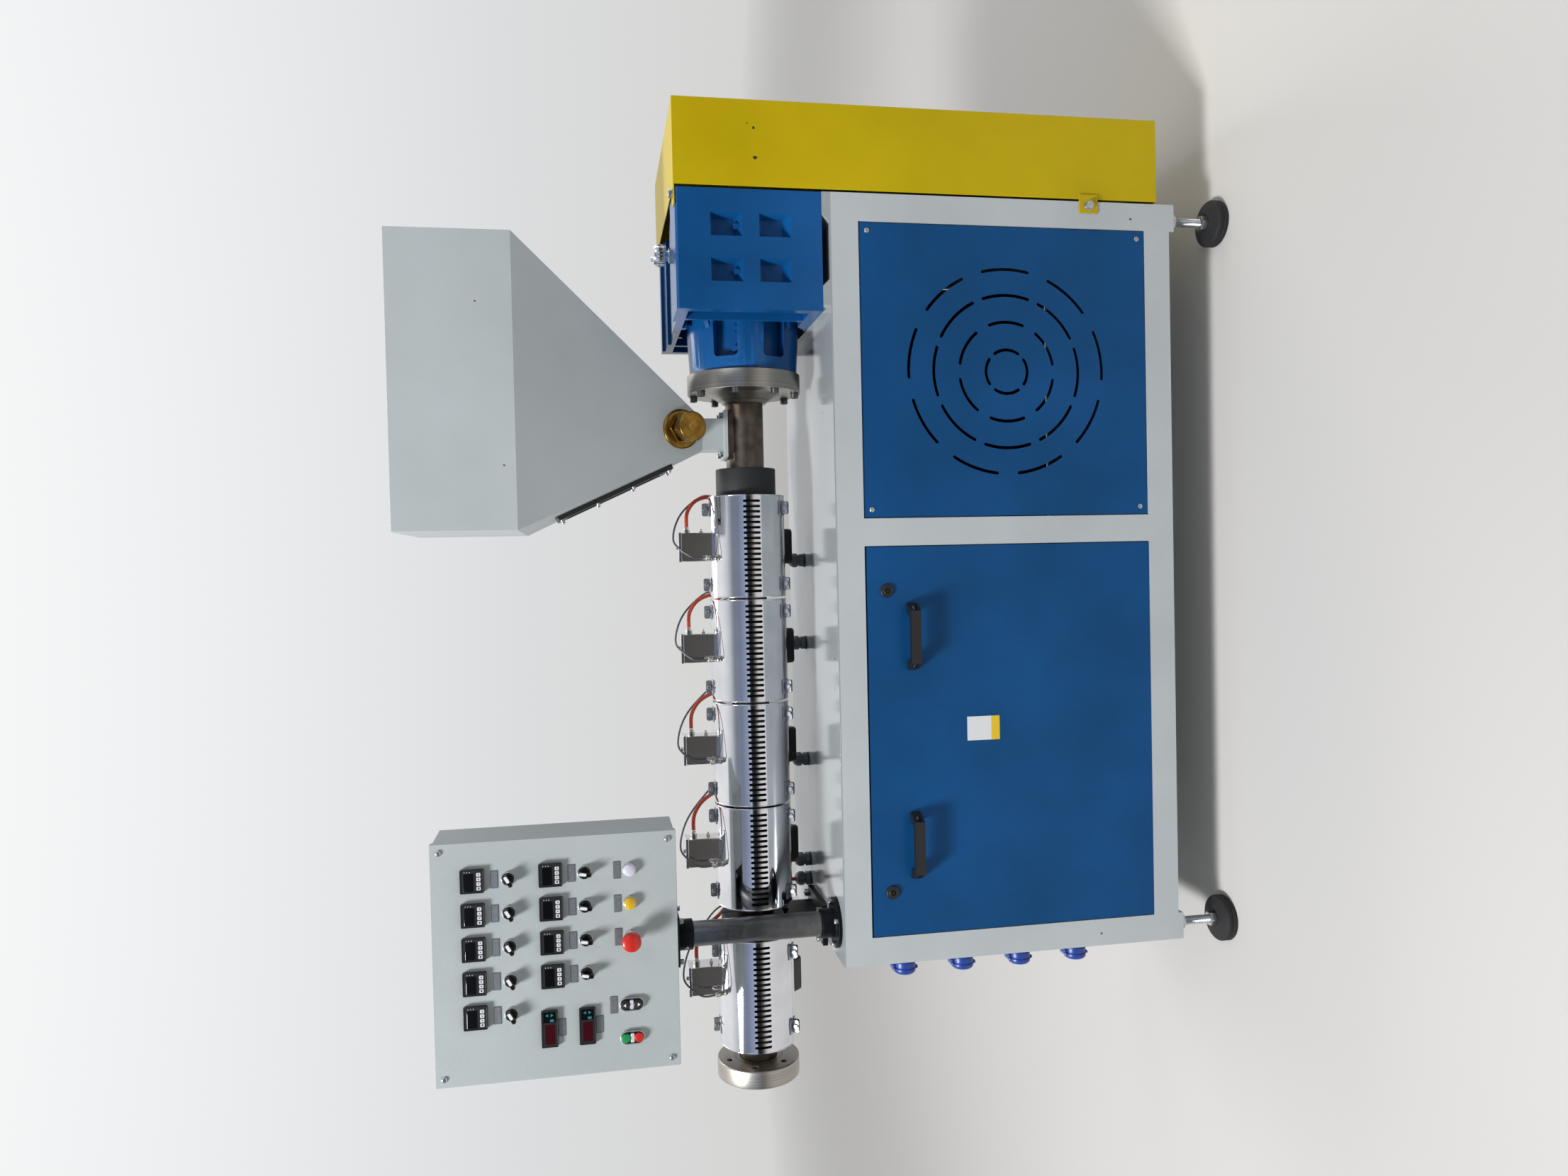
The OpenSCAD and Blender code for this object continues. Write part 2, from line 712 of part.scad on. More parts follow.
module gearbox_housing() {
    step = 8;
    front = gearbox_front;
    back = gearbox_front + gearbox_depth;
    color(blue_paint) difference() {
        union() {
            difference() {
                translate([gearbox_left, 0, gearbox_bottom]) rotate([90, 0, 90])
                    linear_extrude(gearbox_length) polygon([
                        [front, 0], [back, 0], [back, gearbox_height], [back - 36, gearbox_height],
                        [back - 36, gearbox_height - step], [back - 118, gearbox_height - step],
                        [back - 118, gearbox_height - 2 * step], [back - 244, gearbox_height - 2 * step],
                        [back - 244, gearbox_height - step], [front + 128, gearbox_height - step],
                        [front + 128, gearbox_height], [front + 5, gearbox_height],
                        [front, gearbox_height - 5]
                    ]);
                translate([gearbox_left - 1, front + recess_rim, gearbox_bottom + recess_rim]) cube([
                    recess_depth + 1, gearbox_depth - 2 * recess_rim, gearbox_height - 2 * recess_rim
                ]);
            }
            for (k = [1:4])
                translate([gearbox_left, front + k * (gearbox_depth - rib) / 5, gearbox_bottom + 1])
                    cube([recess_depth + 1, rib, gearbox_height - recess_rim]);
        }
        on_axis(gearbox_left - 1) cylinder(d = bell_diameter + 30, h = recess_depth + 1);
        pocket_spots() {
            translate([0, front, 0]) rotate([90, 0, 0]) tapered_pocket(49, 69);
            translate([0, back, 0]) rotate([-90, 0, 0]) tapered_pocket(49, 69);
        }
    }
    color(blue_paint) for (x = [0, 95.5], y = [front + 14, back - 14])
        translate([gearbox_left + 83.5 + x, y, gearbox_bottom + 206 - 28]) hexagon(13, 12);
    color(blue_paint) for (y = [front + 44, back - 44])
        translate([gearbox_left + 24, y, gearbox_bottom + recess_rim]) {
            cylinder(d = 26, h = 3);
            translate([0, 0, 3 - eps]) hexagon(19, 10);
        }
}

module gearbox_bell() {
    length = recess_floor - bell_left;
    r1 = bell_nose / 2;
    r2 = bell_diameter / 2;
    color(blue_paint) {
        difference() {
            on_axis(bell_left) rotate_extrude() polygon([
                [0, 0], [r1 - 2, 0], [r1, 2], [r2, length - 40], [r2 + 8, length], [0, length]
            ]);
            for (angle = [26, -26, 154, 206]) round_axis(bell_left + 71, angle)
                translate([0, 0, r1 - pocket_depth]) block([84, 56, pocket_depth * 2], 10);
        }
        for (angle = [26, 154], x = [-24, 21]) round_axis(bell_left + 71 + x, angle)
            translate([0, angle == 26 ? -17 : 17, r1 - pocket_depth - eps]) hexagon(14, 12);
        for (angle = [45, 135, 225, 315]) round_axis(0, angle) rotate([90, 0, 0])
            translate([0, 0, -rib / 2]) linear_extrude(rib) polygon([
                [recess_floor - 72, r2 - 8], [recess_floor, r2 - 8], [recess_floor, r2 + 22]
            ]);
    }
}

module breather_cap() {
    color(stainless) translate([gearbox_left + 137, gearbox_front + 100, gearbox_top]) {
        hexagon(30, 7);
        rotate_extrude() polygon([
            [0, 7 - eps], [11, 7 - eps], [11, 12], [20, 13], [22, 15], [22, 36], [20, 40], [14, 41], [0, 41]
        ]);
        for (a = [0:20:340]) rotate([0, 0, a]) translate([22, 0, 17]) cylinder(d = 2.4, h = 18);
        translate([-9, 0, 41 - eps]) cylinder(d = 9, h = 5);
    }
}

module belt_guard() {
    top_tab = [40, 28];
    tab_x = guard_left - top_tab[0];
    depth = min(guard_depth, frame_depth);
    color(yellow_paint) difference() {
        union() {
            difference() {
                translate([guard_left, 0, guard_bottom])
                    cube([guard_width, depth, guard_top - guard_bottom]);
                translate([guard_left - 1, guard_sheet, guard_bottom + guard_sheet]) cube([
                    guard_width + 1 - guard_sheet, depth - 2 * guard_sheet,
                    guard_top - guard_bottom - 2 * guard_sheet
                ]);
            }
            for (y = [gearbox_front + 1, gearbox_front + gearbox_depth - top_tab[1] - 1])
                translate([tab_x, y, gearbox_top]) cube([top_tab[0] + 1, top_tab[1], tab_sheet]);
            for (y = [-tab_sheet, frame_depth]) translate([guard_left - 31, y, tab_height - 22])
                cube([41, tab_sheet, 44]);
            translate([guard_left, depth - 1, tab_height - 22]) cube([10, frame_depth - depth + 2, 44]);
        }
        for (y = [gearbox_front + 15, gearbox_front + gearbox_depth - 15])
            translate([guard_left - 15, y, gearbox_top - 1]) cylinder(d = 10.6, h = tab_sheet + 2);
        for (y = [-5, frame_depth - 5]) translate([guard_left - 15, y, tab_height]) rotate([-90, 0, 0])
            cylinder(d = 10.6, h = 12);
    }
}

module washer_bolt(length) {
    ring(11, 5.2, 2);
    translate([0, 0, 2 - eps]) hex_bolt(17, 7, 10, length + 2);
}

module guard_bolts() {
    color(zinc) {
        for (y = [gearbox_front + 15, gearbox_front + gearbox_depth - 15])
            translate([guard_left - 15, y, gearbox_top + tab_sheet]) washer_bolt(tab_sheet - 0.05);
        translate([guard_left - 15, -tab_sheet, tab_height]) rotate([90, 0, 0])
            washer_bolt(tab_sheet - 0.05);
        translate([guard_left - 15, frame_depth + tab_sheet, tab_height]) rotate([-90, 0, 0])
            washer_bolt(tab_sheet - 0.05);
    }
}

// Barrel, screw and flanges

module barrel() {
    length = barrel_right - barrel_left;
    color(steel) difference() {
        union() {
            on_axis(barrel_left) cylinder(r = barrel_radius, h = length);
            translate([neck_middle - neck_flange / 2 - 3, axis_depth - 32, axis_height + 10])
                cube([neck_flange + 6, 64, saddle_height - 10]);
        }
        on_axis(barrel_left - 1) cylinder(d = bore_diameter, h = length + 2);
        translate([neck_middle - 22, axis_depth - 16, axis_height])
            cube([44, 32, saddle_height + 1]);
    }
}

module feed_screw() {
    flight = bore_diameter / 2 - 0.3;
    core = flight * 0.72;
    color(stainless) {
        on_axis(barrel_left + 24) rotate_extrude() polygon([
            [0, 0], [core * 0.85, 22], [core, 26], [core, barrel_right - barrel_left - 30],
            [0, barrel_right - barrel_left - 30]
        ]);
        for (zone = [[barrel_left + 50, 135], [neck_middle - 65, 135]])
            on_axis(zone[0]) linear_extrude(zone[1], twist = -zone[1] * 8, slices = 54, $fs = 30)
                translate([core * 0.5, -3]) square([flight - core * 0.5, 6]);
    }
}

module barrel_flange() {
    r = flange_diameter / 2;
    hub = barrel_radius + 6;
    color(steel) {
        difference() {
            on_axis(hub_left) rotate_extrude() polygon([
                [barrel_radius + ring_gap, 0], [hub, 0], [hub + 3, 3], [hub + 30, flange_left - hub_left],
                [r - 2, flange_left - hub_left], [r, flange_left - hub_left + 2],
                [r, bell_left - hub_left - 2], [r - 2, bell_left - hub_left],
                [barrel_radius + ring_gap, bell_left - hub_left]
            ]);
            flange_screw_spots() translate([0, 0, -1]) cylinder(d = 13, h = flange_thickness + 2);
        }
        flange_screw_spots() mirror([0, 0, 1]) cap_screw(12, flange_thickness - 0.05);
    }
}

module flange_screw_spots() {
    for (k = [0:7]) on_axis(flange_left) rotate([0, 0, 270 - 17 - 45 * k])
        translate([flange_bolt_circle / 2, 0, 0]) children();
}

module die_flange() {
    r = die_flange_diameter / 2;
    color(steel) difference() {
        on_axis(barrel_left) rotate_extrude() polygon([
            [barrel_radius + ring_gap, 0], [r - 2, 0], [r, 2], [r, die_flange_thickness - 2],
            [r - 2, die_flange_thickness], [barrel_radius + ring_gap, die_flange_thickness]
        ]);
        for (k = [0:5]) on_axis(barrel_left - 1) rotate([0, 0, 270 - 15 - 60 * k])
            translate([die_bolt_circle / 2, 0, 0])
                cylinder(d = die_bolt_hole, h = die_flange_thickness + 2);
    }
}

module thermal_collar() {
    r = collar_diameter / 2;
    color(black_plastic) on_axis(band_right + 0.5) rotate_extrude() polygon([
        [barrel_radius + ring_gap, 0], [r, 0], [r, collar_length - 2], [r - 2, collar_length],
        [barrel_radius + ring_gap, collar_length]
    ]);
}

// Heating and cooling

module heater_band(i) {
    length = band_sizes[i];
    slits = band_slits[i];
    r = band_radius;
    color(stainless) on_axis(band_starts[i]) difference() {
        rotate_extrude() difference() {
            polygon([
                [barrel_radius + ring_gap, 0], [r - 1, 0], [r, 1], [r, length - 1], [r - 1, length],
                [barrel_radius + ring_gap, length]
            ]);
            translate([barrel_radius + 12, 1.5]) square([r - barrel_radius - 13.2, length - 3]);
        }
        for (face = [270, 90]) intersection() {
            rotate([0, 0, face - slit_half_arc]) rotate_extrude(angle = 2 * slit_half_arc)
                translate([r - 6, 0]) square([12, length]);
            for (k = [0:slits - 1])
                translate([-r, -r - 5, length / 2 + (k - (slits - 1) / 2) * slit_pitch - slit_width / 2])
                    cube([2 * r, 2 * r + 10, slit_width]);
        }
    }
}

module terminal_boxes() {
    w = terminal_box[0];
    d = terminal_box[1];
    h = terminal_box[2];
    color(stainless) for (x = terminal_positions) translate([x, axis_depth, axis_height]) {
        difference() {
            translate([-w / 2, -d / 2, band_radius - 4]) cube([w, d, h]);
            rotate([0, 90, 0]) translate([0, 0, -w]) cylinder(r = band_radius + ring_gap, h = 2 * w);
        }
        translate([w / 2, 0, band_radius + h - 24]) rotate([0, 90, 0]) {
            hexagon(14, 8);
            translate([0, 0, 8 - eps]) cylinder(d = 11, h = 6);
        }
        translate([0, 0, band_radius - 4 + h - eps]) hexagon(7, 4);
    }
}

module band_clamps() {
    middles = [for (i = [0:4]) band_starts[i] + band_sizes[i] / 2];
    color(stainless) for (m = middles, s = [-1, 1], angle = clamp_angles)
        round_axis(m + s * clamp_offset, angle) translate([0, 0, band_radius + ring_gap]) {
            block([34, 34, 1.5], 2);
            for (y = [-4.5, 3]) translate([-15, y, 1.5 - eps]) cube([30, 1.5, 17]);
            translate([0, -4.5 + eps, 10]) rotate([90, 0, 0]) cap_screw(6, 13);
        }
}

// Part of the way from a lead's furthest reach back to its gland
function towards(from, to, share) = from + (to - from) * share;

function lead_route(x, gland) =
    let (
        side = x + terminal_box[0] / 2, reach = side + 88,
        y = axis_depth, z = axis_height, g = gland_depth
    ) [
        [side + 15.3, y, terminal_top - 20],
        [side + 48, y + 8, terminal_top - 23],
        [side + 76, y + 25, terminal_top - 44],
        [reach, y + 69, z + 81],
        [towards(reach, gland, 0.05), y + 111, z + 59],
        [towards(reach, gland, 0.27), y + 133, z + 22],
        [towards(reach, gland, 0.53), y + 138, z - 8],
        [towards(reach, gland, 0.76), y + 134.5, z - 36],
        [towards(reach, gland, 0.95), y + 117, z - 64],
        [gland, g - 0.5, table_height + gland_height + 31],
        [gland, g - 3.5, table_height + gland_height + 0.3]
    ];
function probe_route(x, gland) =
    let (
        left = x - terminal_box[0] / 2, side = x + terminal_box[0] / 2, reach = side + 94,
        y = axis_depth, z = axis_height, g = gland_depth
    ) [
        [left + 8, y - 52, z + 106],
        [left + 10, y - 55, z + 136],
        [left + 32, y - 47, terminal_top + 4],
        [x + 18, y - 36, terminal_top + 14],
        [side + 18, y - 19, terminal_top + 7],
        [side + 50, y + 5, terminal_top - 12],
        [side + 80, y + 48, terminal_top - 47],
        [reach, y + 104, z + 80],
        [towards(reach, gland, 0.08), y + 141, z + 38],
        [towards(reach, gland, 0.21), y + 151.5, z + 2],
        [towards(reach, gland, 0.54), y + 148, z - 24],
        [towards(reach, gland, 0.78), y + 147, z - 42],
        [towards(reach, gland, 0.92), y + 130, z - 70],
        [gland, g + 10, table_height + gland_height + 28],
        [gland, g + 5.5, table_height + gland_height + 0.3]
    ];

module heater_leads() {
    color([0.72, 0.2, 0.1]) for (i = [0:4]) run(lead_route(terminal_positions[i], gland_positions[i]), 9);
}

module thermocouples() {
    w = terminal_box[0];
    color([0.25, 0.25, 0.24]) for (i = [0:4]) {
        x = terminal_positions[i];
        run(probe_route(x, gland_positions[i]), 4.5, steps = 2);
        round_axis(x - w / 2 + 8, 64) translate([0, 0, band_radius + 0.1]) {
            cylinder(d = 14, h = 3);
            translate([0, 0, 3 - eps]) cylinder(d = 8, h = 26);
        }
    }
}

module cooling_fans() {
    color(black_plastic) for (i = [0:4]) {
        middle = band_starts[i] + band_sizes[i] / 2;
        round_axis(middle, fan_angle) difference() {
            translate([0, 0, band_radius - 8]) block([84, 84, fan_depth], 8);
            translate([-60, 0, 0]) rotate([0, 90, 0]) cylinder(r = band_radius + ring_gap, h = 120);
            translate([0, 0, band_radius - 20 + fan_depth]) ring(36, 14, 20);
        }
    }
}

module barrel_support() {
    plate = [94, 174, 12];
    x = support_middle;
    inner = barrel_radius + ring_gap;
    color(black_plastic) {
        difference() {
            translate([x - 4 - plate[0] / 2, axis_depth - plate[1] / 2, table_height]) cube(plate);
            for (dx = [-35, 27], dy = [-75, 75])
                translate([x + dx, axis_depth + dy, table_height - 1]) cylinder(d = 12.4, h = plate[2] + 2);
        }
        difference() {
            union() {
                translate([x - 18, axis_depth - 55, table_height + plate[2]])
                    cube([36, 110, axis_height - table_height - plate[2] - 20]);
                on_axis(x - 18) cylinder(r = barrel_radius + 36, h = 36);
            }
            on_axis(x - 40) cylinder(r = inner, h = 80);
            translate([x - 40, axis_depth - 100, axis_height - 1.5]) cube([80, 200, 3]);
        }
    }
    color(zinc) {
        for (dx = [-35, 27], dy = [-75, 75])
            translate([x + dx, axis_depth + dy, table_height + plate[2]]) cap_screw(12, plate[2] - 0.05);
        for (dy = [-1, 1]) translate([x, axis_depth + dy * (barrel_radius + 20), axis_height + 25])
            cap_screw(10, 0.5);
    }
}

module cable_glands() {
    color([0.25, 0.27, 0.29]) for (x = gland_positions) translate([x, gland_depth, table_height]) {
        cylinder(r = 16.5, h = 3);
        translate([0, 0, 3 - eps]) hexagon(30, 11);
        rotate_extrude() polygon([
            [0, 14 - 2 * eps], [13, 14 - 2 * eps], [13, 17], [16, 18], [16, gland_height - 7],
            [13, gland_height - 2], [9, gland_height], [0, gland_height]
        ]);
    }
}

// Hopper

function inset(q, s, z) = [q[0] + s, q[1] - s, q[2] + s, q[3] - s, z];

module on_front_slope(x, z) {
    y = hopper_front + (hopper_knee - z) * tan(front_slope);
    translate([x, y, z]) rotate([90 + front_slope, 0, 0]) children();
}

module on_left_slope(z) {
    x = hopper_left + (hopper_knee - z) * tan(left_slope);
    translate([x, axis_depth, z]) rotate([0, -90 - left_slope, 0]) children();
}

window_height = (hopper_knee * 0.82 + hopper_foot * 0.18);
window_middle = (hopper_knee + hopper_foot) / 2;
window_length = 290;
window_width = 100;

module window_bolt_spots() {
    for (x = [-1.5:1:1.5], y = [-1, 1])
        translate([x * (window_length - 24) / 3, y * (window_width / 2 - 10), 0]) children();
}

module hopper_shell() {
    knee = [hopper_left, hopper_right, hopper_front, hopper_back, hopper_knee];
    half = neck_side / 2;
    foot = [neck_middle - half, neck_middle + half, axis_depth - half, axis_depth + half, hopper_foot];
    color(white_paint) difference() {
        union() {
            translate([hopper_left, hopper_front, hopper_knee])
                cube([hopper_width, hopper_depth, hopper_top - hopper_knee]);
            taper(foot, knee);
        }
        translate([hopper_left + hopper_sheet, hopper_front + hopper_sheet, hopper_knee]) cube([
            hopper_width - 2 * hopper_sheet, hopper_depth - 2 * hopper_sheet,
            hopper_top - hopper_knee + 1
        ]);
        taper(inset(foot, hopper_sheet, hopper_foot - eps), inset(knee, hopper_sheet, hopper_knee + eps));
        on_left_slope(window_middle) {
            translate([0, 0, -12]) block([window_length - 48, window_width - 40, 20], 6);
            window_bolt_spots() translate([0, 0, -8]) cylinder(d = 6.4, h = 12);
        }
        on_front_slope(neck_middle + 9, hopper_foot + 50) translate([0, 0, -10]) cylinder(d = 50, h = 20);
    }
}

module hopper_window() {
    color([0.2, 0.22, 0.22]) on_left_slope(window_middle) {
        difference() {
            block([window_length, window_width, 3], 6);
            translate([0, 0, -1]) block([window_length - 48, window_width - 40, 5], 6);
            window_bolt_spots() translate([0, 0, -1]) cylinder(d = 6.4, h = 5);
        }
        difference() {
            translate([0, 0, 3]) block([window_length, window_width, 8], 6);
            window_bolt_spots() translate([0, 0, 2]) cylinder(d = 6.4, h = 10);
        }
    }
    color(zinc) on_left_slope(window_middle) window_bolt_spots() translate([0, 0, 11]) cap_screw(6, 13.5);
}

module hopper_neck() {
    half = neck_flange / 2;
    color(white_paint) translate([neck_middle, axis_depth, saddle_top]) difference() {
        union() {
            translate([-half, -half, 0]) cube([neck_flange, neck_flange, neck_flange_sheet]);
            translate([-neck_side / 2, -neck_side / 2, 0])
                cube([neck_side, neck_side, hopper_foot - saddle_top]);
        }
        translate([-neck_side / 2 + 3, -neck_side / 2 + 3, neck_flange_sheet])
            cube([neck_side - 6, neck_side - 6, hopper_foot - saddle_top]);
        translate([-22, -16, -1]) cube([44, 32, neck_flange_sheet + 2]);
        for (x = [-1, 1]) translate([x * (half - 9), 0, -1])
            cylinder(d = 10.4, h = neck_flange_sheet + 2);
    }
    color(zinc) for (x = [-1, 1], y = [-0.5, 0.5])
        translate([neck_middle + x * (half - 9), axis_depth + y * 44, saddle_top + neck_flange_sheet])
            cap_screw(8, 0.5);
}

module drain_plug() {
    color([0.55, 0.42, 0.18]) on_front_slope(neck_middle + 9, hopper_foot + 50) {
        translate([0, 0, -14]) cylinder(d = 49.4, h = 14 + eps);
        rotate_extrude() polygon([[0, 0], [45, 0], [45, 4], [41, 7], [0, 7]]);
        translate([0, 0, 7 - eps]) hexagon(64, 14);
        translate([0, 0, 21 - 2 * eps]) cylinder(d = 52, h = 10);
        translate([0, 0, 30]) rotate([0, 0, 12]) hexagon(60, 18);
        translate([0, 0, 48 - eps]) rotate_extrude() polygon([
            [0, 0], [33, 0], [33, 12], [31, 14], [17, 14], [17, 12.5], [13, 12.5], [13, 14], [0, 14]
        ]);
    }
}

// Mast and control box

module mast_tube() {
    color(steel) translate([mast_middle, mast_depth, table_height + 8]) difference() {
        cylinder(d = mast_diameter, h = head_top - head_plate - table_height - 8);
        translate([0, 0, -1]) cylinder(d = mast_diameter - 6, h = box_bottom - table_height);
    }
}

module mast_fittings() {
    r = mast_diameter / 2 + ring_gap;
    top = head_top - head_plate;
    color(black_plastic) translate([mast_middle, mast_depth, 0]) {
        translate([0, 0, table_height]) cylinder(d = mast_base, h = 8);
        translate([0, 0, table_height + 8 - eps]) rotate_extrude() polygon([
            [r, 0], [32, 0], [32, 28], [30, 30], [r, 30]
        ]);
        translate([0, 0, top - 32]) rotate_extrude() polygon([
            [r, 0], [31, 0], [33, 2], [33, 32 + eps], [r, 32 + eps]
        ]);
        translate([0, 0, top]) difference() {
            block([108, 108, head_plate], 6);
            translate([0, 0, -1]) cylinder(d = 30, h = head_plate + 2);
        }
    }
    color(zinc) translate([mast_middle, mast_depth, 0]) {
        for (a = [20:90:290]) rotate([0, 0, a]) translate([mast_base / 2 - 10, 0, table_height + 8])
            cap_screw(8, 0.5);
        for (x = [-1, 1], y = [-1, 1]) translate([x * 44, y * 44, top]) mirror([0, 0, 1]) cap_screw(8, 0.5);
        rotate([0, 0, -35]) translate([0, -32, top - 16]) rotate([90, 0, 0]) cylinder(d = 9, h = 3);
    }
}

module panel_cutouts() {
    for (s = controller_spots) on_panel(s) translate([0, 0, -6])
        linear_extrude(12) square(45 + 2 * cutout_gap, center = true);
    for (s = display_spots) on_panel(s) translate([0, 0, -6])
        linear_extrude(12) square([70 + 2 * cutout_gap, 28 + 2 * cutout_gap], center = true);
    for (s = concat(selector_spots, lamp_spots, [stop_spot])) on_panel(s) translate([0, 0, -6])
        cylinder(d = 22 + 2 * cutout_gap, h = 12);
    for (s = double_spots) on_panel(s) translate([0, 0, -6]) cylinder(d = 22 + 2 * cutout_gap, h = 12);
}

module control_box() {
    middle = [box_side / 2, box_side / 2];
    color(white_paint) {
        difference() {
            on_panel(middle) translate([0, 0, -fold]) difference() {
                block([box_side, box_side, fold], 2);
                translate([0, 0, -1]) block([box_side - 4, box_side - 4, fold - 1], 1);
            }
            panel_cutouts();
        }
        on_panel(middle) translate([0, 0, -box_depth]) difference() {
            block([box_side - 2 * box_step, box_side - 2 * box_step, box_depth - fold], 3);
            translate([0, 0, 2])
                block([box_side - 2 * box_step - 4, box_side - 2 * box_step - 4, box_depth], 1);
        }
        for (x = [18, box_side - 18], z = [18, box_side - 18]) on_panel([x, z]) intersection() {
            cylinder(d = 13, h = 4);
            translate([0, 0, -6]) sphere(10);
        }
    }
}

module temperature_controllers() {
    color(black_plastic) for (s = controller_spots) on_panel(s) {
        translate([0, 0, -48]) linear_extrude(48 + eps) square(45, center = true);
        difference() {
            block([48, 48, 9], 2);
            translate([0, 3, 7]) block([40, 26, 3], 1);
        }
        for (k = [0:3]) translate([-13 + k * 8.8, -17, 9 - eps]) block([6.5, 6.5, 1], 1);
    }
}

module process_displays() {
    color(black_plastic) for (s = display_spots) on_panel(s) {
        translate([0, 0, -48]) linear_extrude(48 + eps) square([70, 28], center = true);
        difference() {
            block([76, 34, 8], 2);
            translate([-10, 0, 6.5]) block([42, 22, 3], 1);
        }
        for (y = [-6, 6]) translate([24, y, 8 - eps]) block([7, 5, 0.6], 1);
    }
}

module switch_bezels() {
    color(stainless) {
        for (s = selector_spots) on_panel(s) rotate_extrude() polygon([
            [9, -20], [11, -20], [11, 0], [14.5, 0], [14.5, 3], [13, 5], [12.8, 5], [12.8, 2], [9, 2]
        ]);
        on_panel(stop_spot) rotate_extrude() polygon([
            [8, -20], [11, -20], [11, 0], [14.5, 0], [14.5, 8], [13, 10], [8, 10]
        ]);
    }
}

module stadium(size, height) {
    linear_extrude(height) rounded_rect(size, size[0] / 2 - eps);
}

module push_buttons() {
    color(zinc) for (s = double_spots) on_panel(s) {
        translate([0, 0, -20]) cylinder(d = 22, h = 20 + eps);
        stadium([28, 50], 5);
        translate([0, 0, 5 - eps]) stadium([24.5, 46.5], 3);
        for (y = [-14, 14]) translate([0, y, 8 - 2 * eps]) intersection() {
            cylinder(d = 18, h = 3);
            translate([0, 0, -18]) sphere(21);
        }
    }
}

module indicator_lamps() {
    color([0.8, 0.8, 0.82]) for (s = lamp_spots) on_panel(s) rotate_extrude() polygon([
        [0, -20], [11, -20], [11, 0], [14.5, 0], [14.5, 3], [13.5, 5], [13.5, 10], [12, 13], [0, 14]
    ]);
}

module label_plates() {
    color([0.55, 0.56, 0.57]) for (s = label_spots) on_panel(s) block([36, 15, 1], 0.6);
}

// Moving parts of the panel

module selector(i) {
    turn = i <= 5 ? 60 : 10;
    color(black_plastic) on_panel(selector_spots[i - 1]) {
        rotate_extrude() polygon([
            [0, -19], [8.7, -19], [8.7, 2.3], [12.4, 2.3], [12.4, 8], [11, 10], [0, 10]
        ]);
        rotate([0, 0, -turn]) translate([0, -1.5, 10 - eps]) block([9, 27, 12], 3);
    }
}

module stop_button() {
    color([0.75, 0.08, 0.05]) on_panel(stop_spot) rotate_extrude() polygon([
        [0, -15], [7.7, -15], [7.7, 10 + stop_travel + 3], [13, 20], [19, 26], [20, 30],
        [20, 40], [18, 45], [12, stop_head], [0, stop_head]
    ]);
}

centred() frame_posts();
centred() frame_rails();
centred() table_plate();
centred() floor_sheet();
centred() front_cover();
centred() cover_handles();
centred() cover_locks();
centred() vented_panel();
centred() rear_panels();
centred() socket_panel();
centred() panel_screws();
centred() power_sockets();
centred() foot_spindles();
centred() foot_pads();
centred() gearbox_housing();
centred() gearbox_bell();
centred() breather_cap();
centred() belt_guard();
centred() guard_bolts();
centred() barrel();
centred() feed_screw();
centred() barrel_flange();
centred() die_flange();
centred() thermal_collar();
centred() heater_band(0);  // heater_band_1
centred() heater_band(1);  // heater_band_2
centred() heater_band(2);  // heater_band_3
centred() heater_band(3);  // heater_band_4
centred() heater_band(4);  // heater_band_5
centred() terminal_boxes();
centred() band_clamps();
centred() heater_leads();
centred() thermocouples();
centred() cooling_fans();
centred() barrel_support();
centred() cable_glands();
centred() hopper_shell();
centred() hopper_window();
centred() hopper_neck();
centred() drain_plug();
centred() mast_tube();
centred() mast_fittings();
centred() control_box();
centred() temperature_controllers();
centred() process_displays();
centred() switch_bezels();
centred() push_buttons();
centred() indicator_lamps();
centred() label_plates();
centred() selector(1);  // selector_1
centred() selector(2);  // selector_2
centred() selector(3);  // selector_3
centred() selector(4);  // selector_4
centred() selector(5);  // selector_5
centred() selector(6);  // selector_6
centred() selector(7);  // selector_7
centred() selector(8);  // selector_8
centred() selector(9);  // selector_9
centred() stop_button();
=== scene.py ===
import math

import bmesh
import bpy
from mathutils import Matrix, Vector


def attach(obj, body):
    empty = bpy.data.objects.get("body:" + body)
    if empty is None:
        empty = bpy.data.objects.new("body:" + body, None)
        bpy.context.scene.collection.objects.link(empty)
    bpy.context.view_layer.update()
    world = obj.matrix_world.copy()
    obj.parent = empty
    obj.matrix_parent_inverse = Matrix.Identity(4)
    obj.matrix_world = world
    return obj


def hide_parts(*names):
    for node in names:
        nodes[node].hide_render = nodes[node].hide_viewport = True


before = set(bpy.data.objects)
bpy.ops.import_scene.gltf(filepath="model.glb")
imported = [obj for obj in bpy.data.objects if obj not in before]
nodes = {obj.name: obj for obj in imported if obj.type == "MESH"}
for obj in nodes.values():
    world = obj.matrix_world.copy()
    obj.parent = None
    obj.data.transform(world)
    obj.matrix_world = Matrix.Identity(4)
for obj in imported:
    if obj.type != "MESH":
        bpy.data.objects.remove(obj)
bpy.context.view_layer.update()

# Camera: stands in front of the control box at head height, held on its side as the photograph was taken.
# Sizes in this file are millimetres from the frame's left and front faces, as in the part's source, and
# ROW brings them to the shared frame in metres.
ROW = Matrix.Scale(0.001, 4) @ Matrix.Translation((-768.5, -263.5, 0))
CAMERA_PLACE = (878.3, -2307.6, 1452.2)
YAW, PITCH, ROLL = math.radians(-1.223), math.radians(10.1), math.radians(1.465)
FOCAL_PIXELS, IMAGE_WIDTH = 1546.9, 2212
SENSOR_WIDTH = 36

